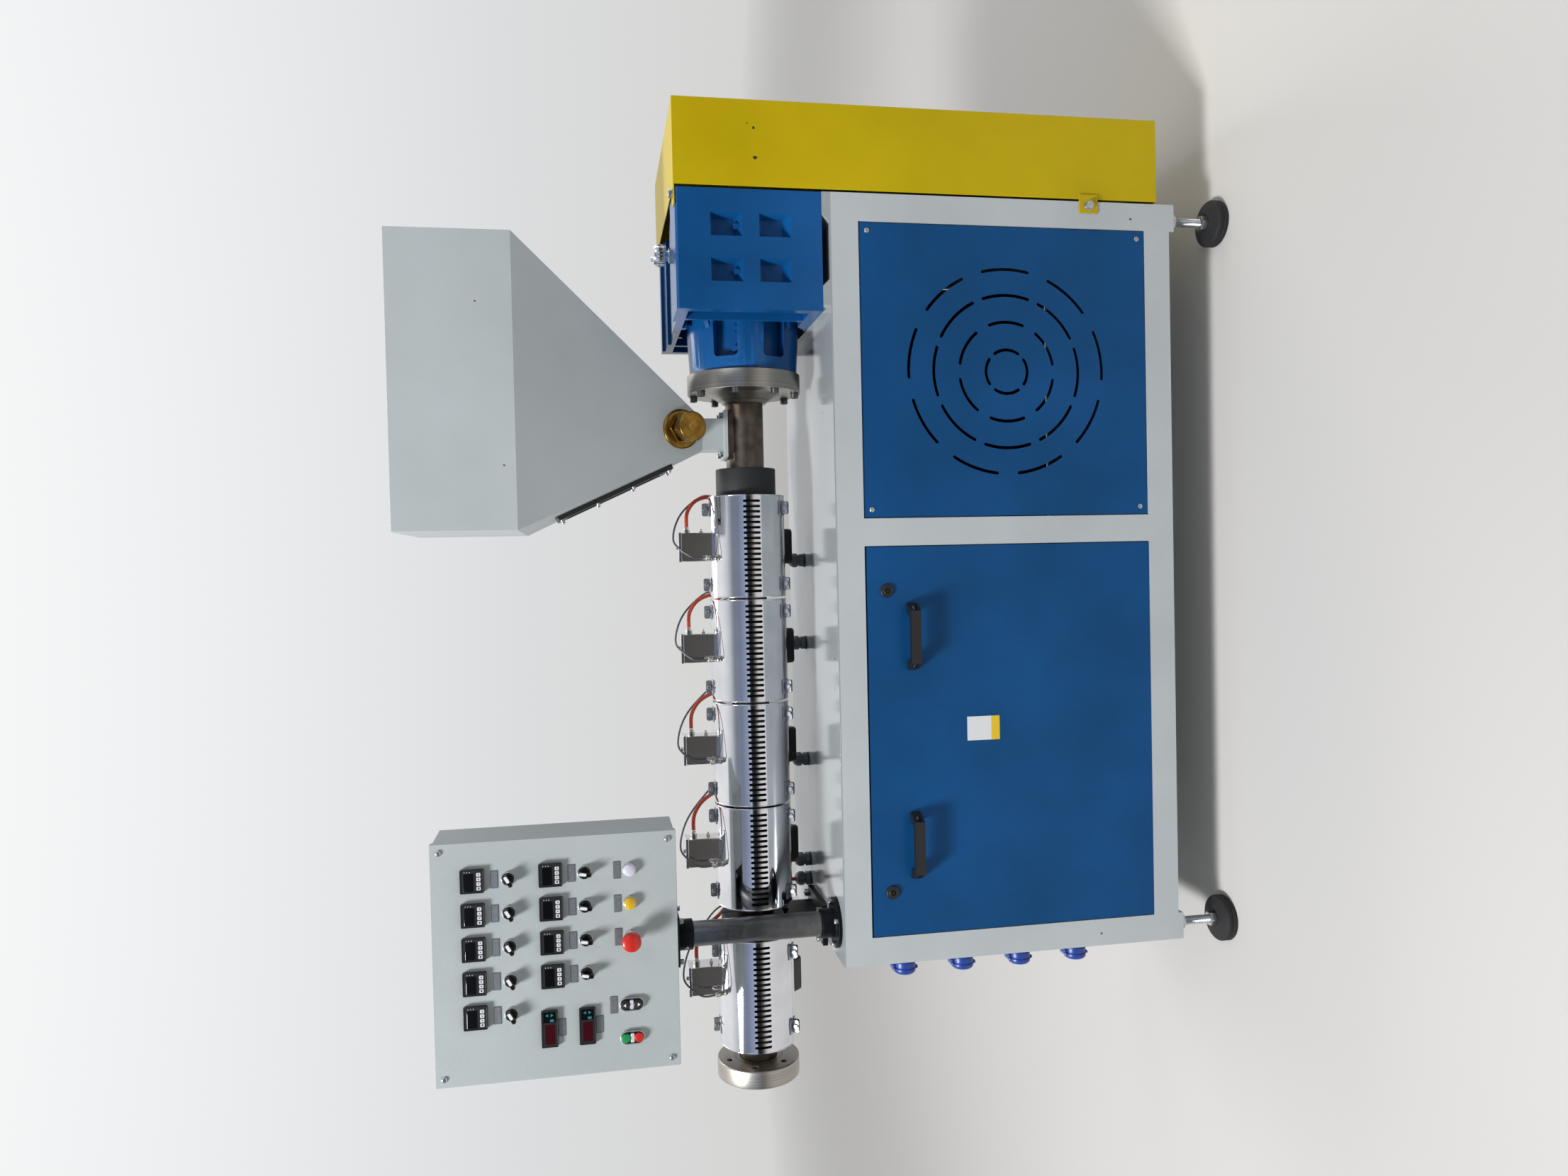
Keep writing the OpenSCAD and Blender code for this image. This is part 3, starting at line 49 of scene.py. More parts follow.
forward = Vector((math.sin(YAW) * math.cos(PITCH), math.cos(YAW) * math.cos(PITCH), -math.sin(PITCH)))
level = Vector((math.cos(YAW), -math.sin(YAW), 0))
straight_down = forward.cross(level)
scene_right = math.cos(ROLL) * level + math.sin(ROLL) * straight_down
scene_down = -math.sin(ROLL) * level + math.cos(ROLL) * straight_down
lens = bpy.data.cameras.new("camera")
lens.sensor_width = SENSOR_WIDTH
lens.sensor_fit = "HORIZONTAL"
lens.lens = FOCAL_PIXELS * SENSOR_WIDTH / IMAGE_WIDTH
lens.clip_end = 100
camera = bpy.data.objects.new("camera", lens)
bpy.context.scene.collection.objects.link(camera)
axes = Matrix((scene_down, scene_right, -forward)).transposed().to_4x4()
camera.matrix_world = Matrix.Translation(ROW @ Vector(CAMERA_PLACE)) @ axes
bpy.context.scene.camera = camera
bpy.context.scene.view_settings.view_transform = "Standard"


# Heater leads: two wires in an orange-red silicone sleeve, from the side fitting of each terminal box,
# round behind the band and down into its cable gland in the table.
TERMINAL_XS = (924, 689, 452, 212, -89)
GLAND_XS = (889, 685, 396, 146, 98)
TERMINAL_HALF = 33
TERMINAL_TOP = 1244
GLAND_TOP = 963.3
LEAD_DIAMETER = 9


def srgb(code):
    """A screen colour such as "B9C0C3" as the linear numbers that a shader takes."""
    parts = [int(code[i:i + 2], 16) / 255 for i in (0, 2, 4)]
    return (*[p / 12.92 if p <= 0.04045 else ((p + 0.055) / 1.055) ** 2.4 for p in parts], 1)


def add_node(tree, kind, inputs=None, **settings):
    """Adds one node. An input is a number or colour, or the output of another node to link."""
    node = tree.nodes.new(kind)
    for name, value in settings.items():
        setattr(node, name, value)
    for name, value in (inputs or {}).items():
        if isinstance(value, bpy.types.NodeSocket):
            tree.links.new(value, node.inputs[name])
        else:
            node.inputs[name].default_value = value
    return node


def new_finish(name, colour, roughness, **sockets):
    """Starts a material: its tree, its shader and the place on the piece that patterns read."""
    material = bpy.data.materials.new(name)
    material.use_nodes = True
    tree = material.node_tree
    shader = tree.nodes["Principled BSDF"]
    shader.inputs["Base Color"].default_value = srgb(colour)
    shader.inputs["Roughness"].default_value = roughness
    for socket, value in sockets.items():
        shader.inputs[socket.replace("_", " ")].default_value = value
    place = add_node(tree, "ShaderNodeTexCoord").outputs["Object"]
    return material, tree, shader, place


def speckle(tree, place, grain_mm, detail=2.0):
    """Even noise with grains of a real size; returns its value from 0 to 1."""
    inputs = {"Vector": place, "Scale": 1000 / grain_mm, "Detail": detail}
    return add_node(tree, "ShaderNodeTexNoise", inputs).outputs["Fac"]


def ramp(tree, value, *stops):
    """Colours by value; each stop is a value and a hex code."""
    made = add_node(tree, "ShaderNodeValToRGB", {"Fac": value})
    points = made.color_ramp.elements
    while len(points) < len(stops):
        points.new(0.5)
    for point, (position, code) in zip(points, stops):
        point.position = position
        point.color = srgb(code)
    return made.outputs["Color"]


def spread(tree, value, low, high, to_low=0.0, to_high=1.0):
    """A value from low to high stretched to another range, and held there outside it."""
    inputs = {"Value": value, "From Min": low, "From Max": high, "To Min": to_low, "To Max": to_high}
    return add_node(tree, "ShaderNodeMapRange", inputs).outputs[0]


def bumped(tree, shader, height, depth_mm):
    """Lets a pattern raise and sink the surface by a real depth."""
    bump = add_node(tree, "ShaderNodeBump", {"Height": height, "Distance": depth_mm / 1000})
    tree.links.new(bump.outputs["Normal"], shader.inputs["Normal"])


def sleeve_finish(name, dark, light, grain_mm, roughness, metallic=0.0):
    """Woven or ribbed covering of a lead. Its threads are finer than a pixel, so they are drawn 1.5 to
    2.5 mm wide."""
    material, tree, shader, place = new_finish(name, dark, roughness, Metallic=metallic)
    weave = speckle(tree, place, grain_mm)
    tree.links.new(ramp(tree, weave, (0.35, dark), (0.65, light)), shader.inputs["Base Color"])
    bumped(tree, shader, weave, 0.4)
    return material


def smooth_line(points, steps):
    """The rounded line through a lead's route, with the same turns as its solid."""
    ends = [points[0], *points, points[-1]]
    line = []
    for a, b, c, d in zip(ends, ends[1:], ends[2:], ends[3:]):
        a, b, c, d = Vector(a), Vector(b), Vector(c), Vector(d)
        for i in range(steps):
            t = i / steps
            line.append(0.5 * (2 * b + (c - a) * t + (2 * a - 5 * b + 4 * c - d) * t * t
                               + (3 * b - a - 3 * c + d) * t * t * t))
    return [*line, Vector(points[-1])]


def hang_lead(name, route, diameter, finish, replaced):
    line = [ROW @ p for p in smooth_line(route, 6)]
    curve = bpy.data.curves.new(name, "CURVE")
    curve.dimensions = "3D"
    curve.bevel_depth = diameter / 2000
    curve.bevel_resolution = 3
    curve.use_fill_caps = True
    spline = curve.splines.new("POLY")
    spline.points.add(len(line) - 1)
    for point, co in zip(spline.points, line):
        point.co = (*co, 1)
    curve.materials.append(finish)
    lead = bpy.data.objects.new(name, curve)
    bpy.context.scene.collection.objects.link(lead)
    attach(lead, "machine")
    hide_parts(replaced)


def on_way(start, end, share):
    """The place that is a share of the way along from start to end."""
    return start + (end - start) * share


def lead_route(x, gland):
    side = x + TERMINAL_HALF
    reach = side + 88
    return [
        (side + 15.3, 255, 1224), (side + 48, 263, 1221), (side + 76, 280, 1200), (reach, 324, 1163),
        (on_way(reach, gland, 0.05), 366, 1141), (on_way(reach, gland, 0.27), 388, 1104),
        (on_way(reach, gland, 0.53), 393, 1074), (on_way(reach, gland, 0.76), 389.5, 1046),
        (on_way(reach, gland, 0.95), 372, 1018), (gland, 359.5, 994), (gland, 356.5, GLAND_TOP),
    ]


# Silicone-coated glass braid of the heater leads
sleeve_orange = sleeve_finish("silicone_sleeve", "B03A22", "CC4B2E", 2.5, 0.55)
for i, (x, gland) in enumerate(zip(TERMINAL_XS, GLAND_XS)):
    hang_lead(f"heater_lead_{i + 1}", lead_route(x, gland), LEAD_DIAMETER, sleeve_orange, "heater_leads")


# Thermocouple leads: thin wires under a steel braid, from the spring-loaded probe in front of each
# terminal box, over the box in one high loop and down to the same gland.
PROBE_DIAMETER = 4.5


def probe_route(x, gland):
    left, side = x - TERMINAL_HALF, x + TERMINAL_HALF
    reach = side + 94
    return [
        (left + 8, 203, 1188), (left + 10, 200, 1218), (left + 32, 208, 1248), (x + 18, 219, 1258),
        (side + 18, 236, 1251), (side + 50, 260, 1232), (side + 80, 303, 1197), (reach, 359, 1162),
        (on_way(reach, gland, 0.08), 396, 1120), (on_way(reach, gland, 0.21), 406.5, 1084),
        (on_way(reach, gland, 0.54), 403, 1058), (on_way(reach, gland, 0.78), 402, 1040),
        (on_way(reach, gland, 0.92), 385, 1012), (gland, 370, 991), (gland, 365.5, GLAND_TOP),
    ]


# Tinned steel braid of the thermocouple leads
steel_braid = sleeve_finish("steel_braid", "2E2F31", "85878A", 1.5, 0.4, 0.8)
for i, (x, gland) in enumerate(zip(TERMINAL_XS, GLAND_XS)):
    hang_lead(f"thermocouple_lead_{i + 1}", probe_route(x, gland), PROBE_DIAMETER, steel_braid, "thermocouples")


# Floor: a plain pale studio floor that takes the machine's shadow and fades out into the background.
FLOOR_RADIUS, FADE_START, FADE_END = 9, 3.5, 8.5

floor_shape = bmesh.new()
bmesh.ops.create_circle(floor_shape, cap_ends=True, radius=FLOOR_RADIUS, segments=96)
floor_mesh = bpy.data.meshes.new("floor")
floor_shape.to_mesh(floor_mesh)
floor_shape.free()
floor = bpy.data.objects.new("floor", floor_mesh)
bpy.context.scene.collection.objects.link(floor)
# Matt paper-white floor, clear towards its rim
floor_finish, tree, shader, place = new_finish("studio_floor", "CDCBC8", 0.9)
distance = add_node(tree, "ShaderNodeVectorMath", {0: place}, operation="LENGTH").outputs["Value"]
clear = add_node(tree, "ShaderNodeBsdfTransparent").outputs[0]
gone = spread(tree, distance, FADE_START, FADE_END)
fade = add_node(tree, "ShaderNodeMixShader", {0: gone, 1: shader.outputs[0], 2: clear})
tree.links.new(fade.outputs[0], tree.nodes["Material Output"].inputs["Surface"])
floor_mesh.materials.append(floor_finish)


# World: a pale wall all round. Polished parts see, on the control side, bright open sky over a dark line
# of buildings, as the mirror sheet showed it. To all other rays the world is a soft even light.
world = bpy.data.worlds.new("studio")
bpy.context.scene.world = world
world.use_nodes = True
sky = world.node_tree
direction = add_node(sky, "ShaderNodeTexCoord").outputs["Generated"]
along = add_node(sky, "ShaderNodeSeparateXYZ", {"Vector": direction}).outputs
height = spread(sky, along["Z"], -1, 1)
wall = ramp(sky, height, (0.40, "D2D1CF"), (0.53, "DCDDDE"), (0.67, "F0F1F2"), (0.80, "FFFFFF"))
yard = ramp(sky, height, (0.38, "7E7A75"), (0.46, "55534F"), (0.475, "232528"), (0.555, "2C2F34"),
            (0.575, "BFCBDE"), (0.66, "A2ADC6"), (0.78, "858EA4"), (0.90, "8B919E"), (1.0, "D9DBDF"))
ray = add_node(sky, "ShaderNodeLightPath").outputs
mirrored = add_node(sky, "ShaderNodeMath", {0: spread(sky, along["Y"], 0.1, -0.5), 1: ray["Is Glossy Ray"]},
                    operation="MULTIPLY").outputs[0]
seen = add_node(sky, "ShaderNodeMix", {0: mirrored, 6: wall, 7: yard}, data_type="RGBA")
looked_at = add_node(sky, "ShaderNodeMath", {
    0: ray["Is Camera Ray"], 1: ray["Is Glossy Ray"]}, operation="MAXIMUM")
looked_at = add_node(sky, "ShaderNodeMath", {0: looked_at.outputs[0], 1: ray["Is Transmission Ray"]},
                     operation="MAXIMUM")
backdrop = add_node(sky, "ShaderNodeBackground", {"Color": seen.outputs[2], "Strength": 1.0})
ambient = add_node(sky, "ShaderNodeBackground", {"Color": srgb("F2F5FA"), "Strength": 0.2})
chosen = add_node(sky, "ShaderNodeMixShader", {
    0: looked_at.outputs[0], 1: ambient.outputs[0], 2: backdrop.outputs[0]})
sky.links.new(chosen.outputs[0], sky.nodes["World Output"].inputs["Surface"])

# Lamps: a soft key high on the left in front, where the sun stood, a wide weak fill from the right, one on
# the right end and one from behind
for name, place, size, power in (
    ("key", (-2.64, -2.64, 5.6), 1.3, 400),
    ("fill", (3.6, -3.6, 4.2), 3.0, 40),
    ("end", (4.6, 0.9, 2.8), 2.5, 60),
    ("rear", (1.0, 3.2, 5.4), 2.5, 90),
):
    lamp = bpy.data.lights.new(name, "AREA")
    lamp.size = size
    lamp.energy = power
    holder = bpy.data.objects.new(name, lamp)
    bpy.context.scene.collection.objects.link(holder)
    aim = Vector((0, 0, 0.9)) - Vector(place)
    holder.matrix_world = Matrix.Translation(place) @ aim.to_track_quat("-Z", "Y").to_matrix().to_4x4()


# Frame: square steel tube of 60 mm, welded, ground flush at the front and powder-coated light grey.
# The leg ends pass 12 mm below the bottom rails and are closed by plates for the feet.
FRAME_LENGTH, FRAME_DEPTH, TUBE, TUBE_RADIUS = 1675, 555, 60, 5
POST_XS = (0, 915, FRAME_LENGTH - TUBE)
RAIL_ZS = (137, 862)
LEG_END = 125
RAIL_SINK = 6


def chipped(tree, place, colour, chips, under):
    """Bare or rusty spots in paint; each chip is its place in the shared frame in metres and its size in
    millimetres."""
    ragged = speckle(tree, place, 5, 3)
    for spot, size_mm in chips:
        away = add_node(tree, "ShaderNodeVectorMath", {0: place, 1: spot}, operation="DISTANCE").outputs["Value"]
        reach = spread(tree, ragged, 0.3, 0.7, size_mm / 4000, size_mm / 1300)
        bare = add_node(tree, "ShaderNodeMath", {0: away, 1: reach}, operation="LESS_THAN").outputs[0]
        mix = add_node(tree, "ShaderNodeMix", {0: bare, 6: colour, 7: srgb(under)}, data_type="RGBA")
        colour = mix.outputs[2]
    return colour


def painted(name, dark, light, grain_mm, depth_mm, roughness, chips=(), under="3A302A", shine=0.3):
    """Sprayed or powder-coated steel: slow shifts of colour, fine orange peel and, where given, small chips."""
    material, tree, shader, place = new_finish(name, dark, roughness, Specular_IOR_Level=shine)
    slow = speckle(tree, place, 260, 3)
    colour = chipped(tree, place, ramp(tree, slow, (0.3, dark), (0.7, light)), chips, under)
    tree.links.new(colour, shader.inputs["Base Color"])
    rub = spread(tree, slow, 0, 1, roughness - 0.06, roughness + 0.08)
    tree.links.new(rub, shader.inputs["Roughness"])
    bumped(tree, shader, speckle(tree, place, grain_mm), depth_mm)
    return material


def ease_edges(part, width, segments=2, sharper=30):
    """Rounds every edge that is sharper than an angle, as paint, bending or deburring leaves it."""
    edges = [e for e in part.edges if e.is_manifold and e.calc_face_angle(0) > math.radians(sharper)]
    bmesh.ops.bevel(part, geom=edges, offset=width, offset_type="OFFSET", affect="EDGES", segments=segments,
                    profile=0.5, material=-1, clamp_overlap=True)
    return part


def join_into(shape, part, *places, slot=None):
    """Adds copies of a finished part to a larger shape, one at each place, in one of its finishes."""
    if slot is not None:
        for face in part.faces:
            face.material_index = slot
    mesh = bpy.data.meshes.new("part")
    part.to_mesh(mesh)
    part.free()
    for place in places or [Matrix.Identity(4)]:
        copy = mesh.copy()
        copy.transform(place)
        shape.from_mesh(copy)
        bpy.data.meshes.remove(copy)
    bpy.data.meshes.remove(mesh)


def round_faces(shape):
    """Says which faces are shaded round: narrow ones, and those that bend gently into one of like size.
    Wide flat ones stay flat, so that their eased edges don't swell them."""
    areas = {face: face.calc_area() for face in shape.faces}
    rounded = []
    for face, area in areas.items():
        bends = [e for e in face.edges if math.radians(0.5) < e.calc_face_angle(0) < math.radians(16)]
        beyond = max((areas[other] for e in bends for other in e.link_faces if other is not face), default=0)
        rounded.append(area < 1.5 * face.calc_perimeter() or beyond > 0.2 * area)
    return rounded


def add_piece(name, shape, finishes, replaces=(), body="machine", sharper=35):
    """Makes a shape in millimetres a piece of the shared frame, which moves with a body."""
    rounded = round_faces(shape)
    bmesh.ops.transform(shape, matrix=ROW, verts=shape.verts)
    mesh = bpy.data.meshes.new(name)
    shape.to_mesh(mesh)
    shape.free()
    for finish in finishes if isinstance(finishes, (list, tuple)) else [finishes]:
        mesh.materials.append(finish)
    mesh.set_sharp_from_angle(angle=math.radians(sharper))
    mesh.polygons.foreach_set("use_smooth", rounded)
    piece = bpy.data.objects.new(name, mesh)
    bpy.context.scene.collection.objects.link(piece)
    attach(piece, body)
    if replaces:
        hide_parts(*replaces)


def block(low, high, radius=0.0, segments=2):
    """A block between two corners, with its edges rounded."""
    part = bmesh.new()
    bmesh.ops.create_cube(part, size=1)
    bmesh.ops.scale(part, vec=Vector(high) - Vector(low), verts=part.verts)
    bmesh.ops.translate(part, vec=(Vector(low) + Vector(high)) / 2, verts=part.verts)
    return ease_edges(part, radius, segments) if radius else part


def pull_up(part, faces, vec):
    """Draws flat faces out into a closed solid."""
    made = bmesh.ops.extrude_face_region(part, geom=faces)["geom"]
    bmesh.ops.translate(part, vec=vec, verts=[v for v in made if isinstance(v, bmesh.types.BMVert)])
    bmesh.ops.recalc_face_normals(part, faces=part.faces)


def grid_on(columns, rows):
    """A flat sheet divided at given places along and across."""
    part = bmesh.new()
    bmesh.ops.create_grid(part, x_segments=len(columns) - 1, y_segments=len(rows) - 1, size=0.5)
    for v in part.verts:
        column = round((v.co.x + 0.5) * (len(columns) - 1))
        row = round((v.co.y + 0.5) * (len(rows) - 1))
        v.co = (columns[column], rows[row], 0)
    return part


def welded_face(y):
    """One face of the frame: posts and rails as one plate with two windows, as deep as the tube."""
    part = grid_on([x + side for x in POST_XS for side in (0, TUBE)],
                   [LEG_END, *[z + side for z in RAIL_ZS for side in (0, TUBE)]])
    left, middle, right = POST_XS
    lower, upper = RAIL_ZS
    empty = []
    for face in part.faces:
        x, z = face.calc_center_median()[:2]
        in_bay = (left + TUBE < x < middle or middle + TUBE < x < right) and lower + TUBE < z < upper
        under_rail = z < lower and left + TUBE < x < right
        if in_bay or under_rail:
            empty.append(face)
    bmesh.ops.delete(part, geom=empty, context="FACES")
    pull_up(part, part.faces[:], (0, 0, TUBE))
    bmesh.ops.dissolve_limit(part, angle_limit=0.01, verts=part.verts, edges=part.edges)
    ease_edges(part, TUBE_RADIUS, 3)
    upright = Matrix.Translation((0, y + TUBE, 0)) @ Matrix.Rotation(math.radians(90), 4, "X")
    bmesh.ops.transform(part, matrix=upright, verts=part.verts)
    return part


# Light grey powder coat with a fine orange peel; a few chips on the front rails
grey_powder_coat = painted("grey_powder_coat", "B4BBBE", "BFC6C9", 3.0, 0.12, 0.42, (
    ((0.2475, -0.2635, 0.552), 5), ((-0.741, -0.2635, 0.327), 4), ((0.871, -0.2635, 0.231), 5)))
frame_shape = bmesh.new()
for y in (0, FRAME_DEPTH - TUBE):
    join_into(frame_shape, welded_face(y))
for x, z in [(x, z) for x in POST_XS for z in RAIL_ZS if (x, z) != (POST_XS[1], RAIL_ZS[0])]:
    rail = block((x, TUBE - RAIL_SINK, z), (x + TUBE, FRAME_DEPTH - TUBE + RAIL_SINK, z + TUBE), TUBE_RADIUS, 3)
    join_into(frame_shape, rail)
add_piece("welded_frame", frame_shape, grey_powder_coat, ("frame_posts", "frame_rails"))


# Table plate: 3 mm sheet welded on the frame and painted in glossy light grey enamel that mirrors what
# stands on it. Two folded seats carry the gearbox and leave a notch between them.
def dress(finish, *names):
    """Gives CAD nodes their finish."""
    for name in names:
        for slot in nodes[name].material_slots:
            slot.material = finish


def cad_copy(name):
    """A merged copy of a CAD node, in millimetres, with its flat faces whole again."""
    part = bmesh.new()
    part.from_mesh(nodes[name].data)
    bmesh.ops.transform(part, matrix=ROW.inverted(), verts=part.verts)
    bmesh.ops.remove_doubles(part, verts=part.verts, dist=0.02)
    bmesh.ops.dissolve_limit(part, angle_limit=math.radians(0.6), verts=part.verts, edges=part.edges)
    return part


def softened(name, finish, width, segments=2):
    """Stands in for a CAD node of the right shape, with its edges rounded."""
    add_piece(name + "_eased", ease_edges(cad_copy(name), width, segments), finish, (name,))


# Two-pack enamel, glossy, chipped at the front edge
grey_enamel = painted("grey_enamel", "969C9E", "A2A8AA", 9.0, 0.04, 0.12, (
    ((-0.1635, -0.225, 0.925), 5), ((-0.0985, -0.228, 0.925), 4), ((0.4485, -0.158, 0.925), 5),
    ((0.4965, -0.066, 0.925), 4)), shine=0.5)
softened("table_plate", grey_enamel, 1.2)
dress(grey_powder_coat, "floor_sheet")


# Front cover: a 2 mm sheet with all four edges folded back, lifted off by its handles and sprayed in
# blue enamel. One blank two-tone plate sticks on its middle.
STICKER = ((481.5, -0.4, 561.5), (534.5, 0.2, 636.5))
STICKER_YELLOW_TOP = 581

# Blue enamel over filler, nearly glossy
blue_enamel = painted("blue_enamel", "0A4474", "104F88", 5.0, 0.06, 0.36, shine=0.15)
softened("front_cover", blue_enamel, 2.0, 3)
# Printed vinyl film, white above and yellow below
vinyl_white = new_finish("vinyl_white", "DDDFE2", 0.35)[0]
vinyl_yellow = new_finish("vinyl_yellow", "E3BE1E", 0.35)[0]
sticker = bmesh.new()
join_into(sticker, block((*STICKER[0][:2], STICKER_YELLOW_TOP), STICKER[1], 0.15, 1), slot=0)
join_into(sticker, block(STICKER[0], (*STICKER[1][:2], STICKER_YELLOW_TOP), 0.15, 1), slot=1)
add_piece("blank_sticker", sticker, (vinyl_white, vinyl_yellow))


# Cover handles: bridge handles moulded in black glass-filled nylon, each held by two zinc-plated cap
# screws sunk in its feet.
HANDLE_XS = (258.5, 716.5)
HANDLE_Z = 760
HANDLE_SCREW_SPREAD, HANDLE_SCREW_Y = 62.5, -9


def moulded(name, colour, roughness, grain_mm=2.0, depth_mm=0.08, **sockets):
    """Moulded plastic: an even colour with the fine spark-eroded grain of its mould."""
    material, tree, shader, place = new_finish(name, colour, roughness, **sockets)
    grain = speckle(tree, place, grain_mm)
    tree.links.new(spread(tree, grain, 0, 1, roughness - 0.08, roughness + 0.08), shader.inputs["Roughness"])
    bumped(tree, shader, grain, depth_mm)
    return material


def metal(name, dark, light, roughness, grain_mm, depth_mm=0.03):
    """Bare or plated metal: colour and polish vary slowly, with fine marks from handling."""
    material, tree, shader, place = new_finish(name, dark, roughness, Metallic=1.0)
    colour = ramp(tree, speckle(tree, place, grain_mm, 4), (0.3, dark), (0.7, light))
    tree.links.new(colour, shader.inputs["Base Color"])
    marks = speckle(tree, place, grain_mm / 6, 3)
    tree.links.new(spread(tree, marks, 0, 1, roughness * 0.7, roughness * 1.4), shader.inputs["Roughness"])
    bumped(tree, shader, marks, depth_mm)
    return material


def turned(profile, steps=48, ease=0.0, segments=2):
    """A lathe part: radius and height points spun round its own z axis, with the ridges eased."""
    part = bmesh.new()
    points = [part.verts.new((r, 0, z)) for r, z in profile]
    line = [part.edges.new(pair) for pair in zip(points, points[1:])]
    bmesh.ops.spin(part, geom=[*points, *line], cent=(0, 0, 0), axis=(0, 0, 1), angle=math.tau, steps=steps,
                   use_merge=True)
    bmesh.ops.remove_doubles(part, verts=part.verts, dist=0.001)
    bmesh.ops.recalc_face_normals(part, faces=part.faces)
    return ease_edges(part, ease, segments) if ease else part


def six_sided(part, within, low):
    """Presses the round faces of a lathe part, up to a radius and above a height, into a hexagon."""
    for v in part.verts:
        r = v.co.xy.length
        if 0.01 < r < within and v.co.z > low:
            turn = math.atan2(v.co.y, v.co.x) % math.radians(60) - math.radians(30)
            v.co.xy *= math.cos(math.radians(30)) / math.cos(turn)
    return part


def cap_head(shank):
    """Head of a socket cap screw: a chamfered cylinder with a hexagon socket."""
    r, socket = shank * 0.75, shank * 0.48
    part = turned([(0, shank * 0.4), (socket, shank * 0.4), (socket, shank * 0.96), (socket + 0.3, shank),
                   (r - shank * 0.1, shank), (r, shank * 0.88), (r, 0), (0, 0)], 24)
    return six_sided(part, socket + 0.01, shank * 0.3)


def hex_head(across, height):
    """A hexagon head or nut with its corners turned off."""
    r = across / 2 / math.cos(math.radians(30))
    part = bmesh.new()
    bmesh.ops.create_cone(part, cap_ends=True, segments=6, radius1=r, radius2=r, depth=height)
    bmesh.ops.translate(part, vec=(0, 0, height / 2), verts=part.verts)
    return ease_edges(part, height * 0.1)


def facing(place, direction=(0, -1, 0), turn=0):
    """The place of a part whose own z axis points in a direction, turned about it by some degrees."""
    stand = Vector(direction).to_track_quat("Z", "Y").to_matrix().to_4x4()
    return Matrix.Translation(place) @ stand @ Matrix.Rotation(math.radians(turn), 4, "Z")


# Black nylon, spark-eroded
black_nylon = moulded("black_nylon", "161616", 0.42)
# Bright zinc plating on fasteners
zinc_plate = metal("zinc_plate", "A9ACAF", "C9CBCD", 0.28, 12)
softened("cover_handles", black_nylon, 2.2, 3)
screws = bmesh.new()
join_into(screws, cap_head(6), *[
    facing((x + s * HANDLE_SCREW_SPREAD, HANDLE_SCREW_Y, HANDLE_Z), turn=20 * s)
    for x in HANDLE_XS for s in (-1, 1)])
add_piece("handle_screws", screws, zinc_plate)


# Cover locks: quarter-turn cam locks of the same nylon, a stepped rosette with a triangular key insert.
LOCK_XS = (157.5, 817.5)
LOCK_Z = 814


def plate(outline, low, high, ease=0.0, segments=2):
    """A flat part cut along an outline, between two heights, with its edges eased."""
    part = bmesh.new()
    corners = [part.verts.new((x, y, low)) for x, y in outline]
    pull_up(part, [part.faces.new(corners)], (0, 0, high - low))
    return ease_edges(part, ease, segments) if ease else part


lock_shape = bmesh.new()
lock_places = [facing((x, 0, LOCK_Z)) for x in LOCK_XS]
join_into(lock_shape, turned([
    (0, -26), (10, -26), (10, 0), (15, 0), (15, 2.6), (13.6, 4.4), (11.2, 5), (9.6, 4.2), (8.6, 4.2), (7.6, 5),
    (6, 5), (6, 1), (0, 1)], 40, 0.3), *lock_places)
join_into(lock_shape, plate([(0, 4), (-3.5, -2), (3.5, -2)], 0.5, 4.4, 0.4), *lock_places)
join_into(lock_shape, block((-8, -8, -30), (8, 18, -26), 1), *lock_places)
add_piece("cam_locks", lock_shape, black_nylon, ("cover_locks",))


# Vented, rear and socket panels: flat 2 mm sheets on corner tabs, laser-cut and sprayed in the same
# blue, each held by four zinc-plated button-head screws.
dress(blue_enamel, "vented_panel", "rear_panels", "socket_panel")
dress(zinc_plate, "panel_screws")
# Painted shade: a black sheet inside the rear vent, put where there is only shade, so that its slots are dark
# from both sides
vent_shade_black = moulded("vent_shade_black", "131313", 0.95, 6, 0.6)
VENT_SHADE_SHEET = ((985, 538, 207), (1605, 546, 852))
add_piece("vent_painted_shade", block(*VENT_SHADE_SHEET, 1), vent_shade_black)


# Power sockets: a column of four blue industrial sockets on the left end, moulded in polyamide, each with
# a square flange, a ribbed body and a sprung flip lid hinged at the top.
SOCKET_ZS = (765, 627, 489, 351)
SOCKET_Y = 92

# Blue polyamide, semi-gloss
blue_polyamide = moulded("blue_polyamide", "1F3F93", 0.35)


def rounded_outline(width, height, radius, steps=6):
    """The outline of a rectangle with round corners, about its middle."""
    points = []
    for quarter, (side, end) in enumerate(((1, 1), (-1, 1), (-1, -1), (1, -1))):
        for i in range(steps + 1):
            angle = math.radians(90 * (quarter + i / steps))
            points.append((side * (width / 2 - radius) + radius * math.cos(angle),
                           end * (height / 2 - radius) + radius * math.sin(angle)))
    return points


sockets = bmesh.new()
socket_places = [facing((2, SOCKET_Y, z), (-1, 0, 0)) for z in SOCKET_ZS]
join_into(sockets, plate(rounded_outline(50, 50, 6), 0.2, 5, 0.8), *socket_places, slot=0)
join_into(sockets, turned([
    (0, 5), (22, 5), (22, 28), (25, 31), (25, 42), (24, 43.5), (24, 44.2), (25.6, 45), (25.6, 51), (24, 54.5),
    (20, 57.5), (12, 58.6), (11.4, 57.8), (10.6, 57.8), (10, 58.8), (0, 59.2)], 48, 0.4), *socket_places, slot=0)
for k in range(16):
    rib = block((21, -1, 8), (24, 1, 29), 0.5, 1)
    bmesh.ops.rotate(rib, cent=(0, 0, 0), matrix=Matrix.Rotation(math.tau * k / 16, 3, "Z"), verts=rib.verts)
    join_into(sockets, rib, *socket_places, slot=0)
join_into(sockets, block((-11, 23, 34), (11, 31, 48), 2.2, 3), *socket_places, slot=0)
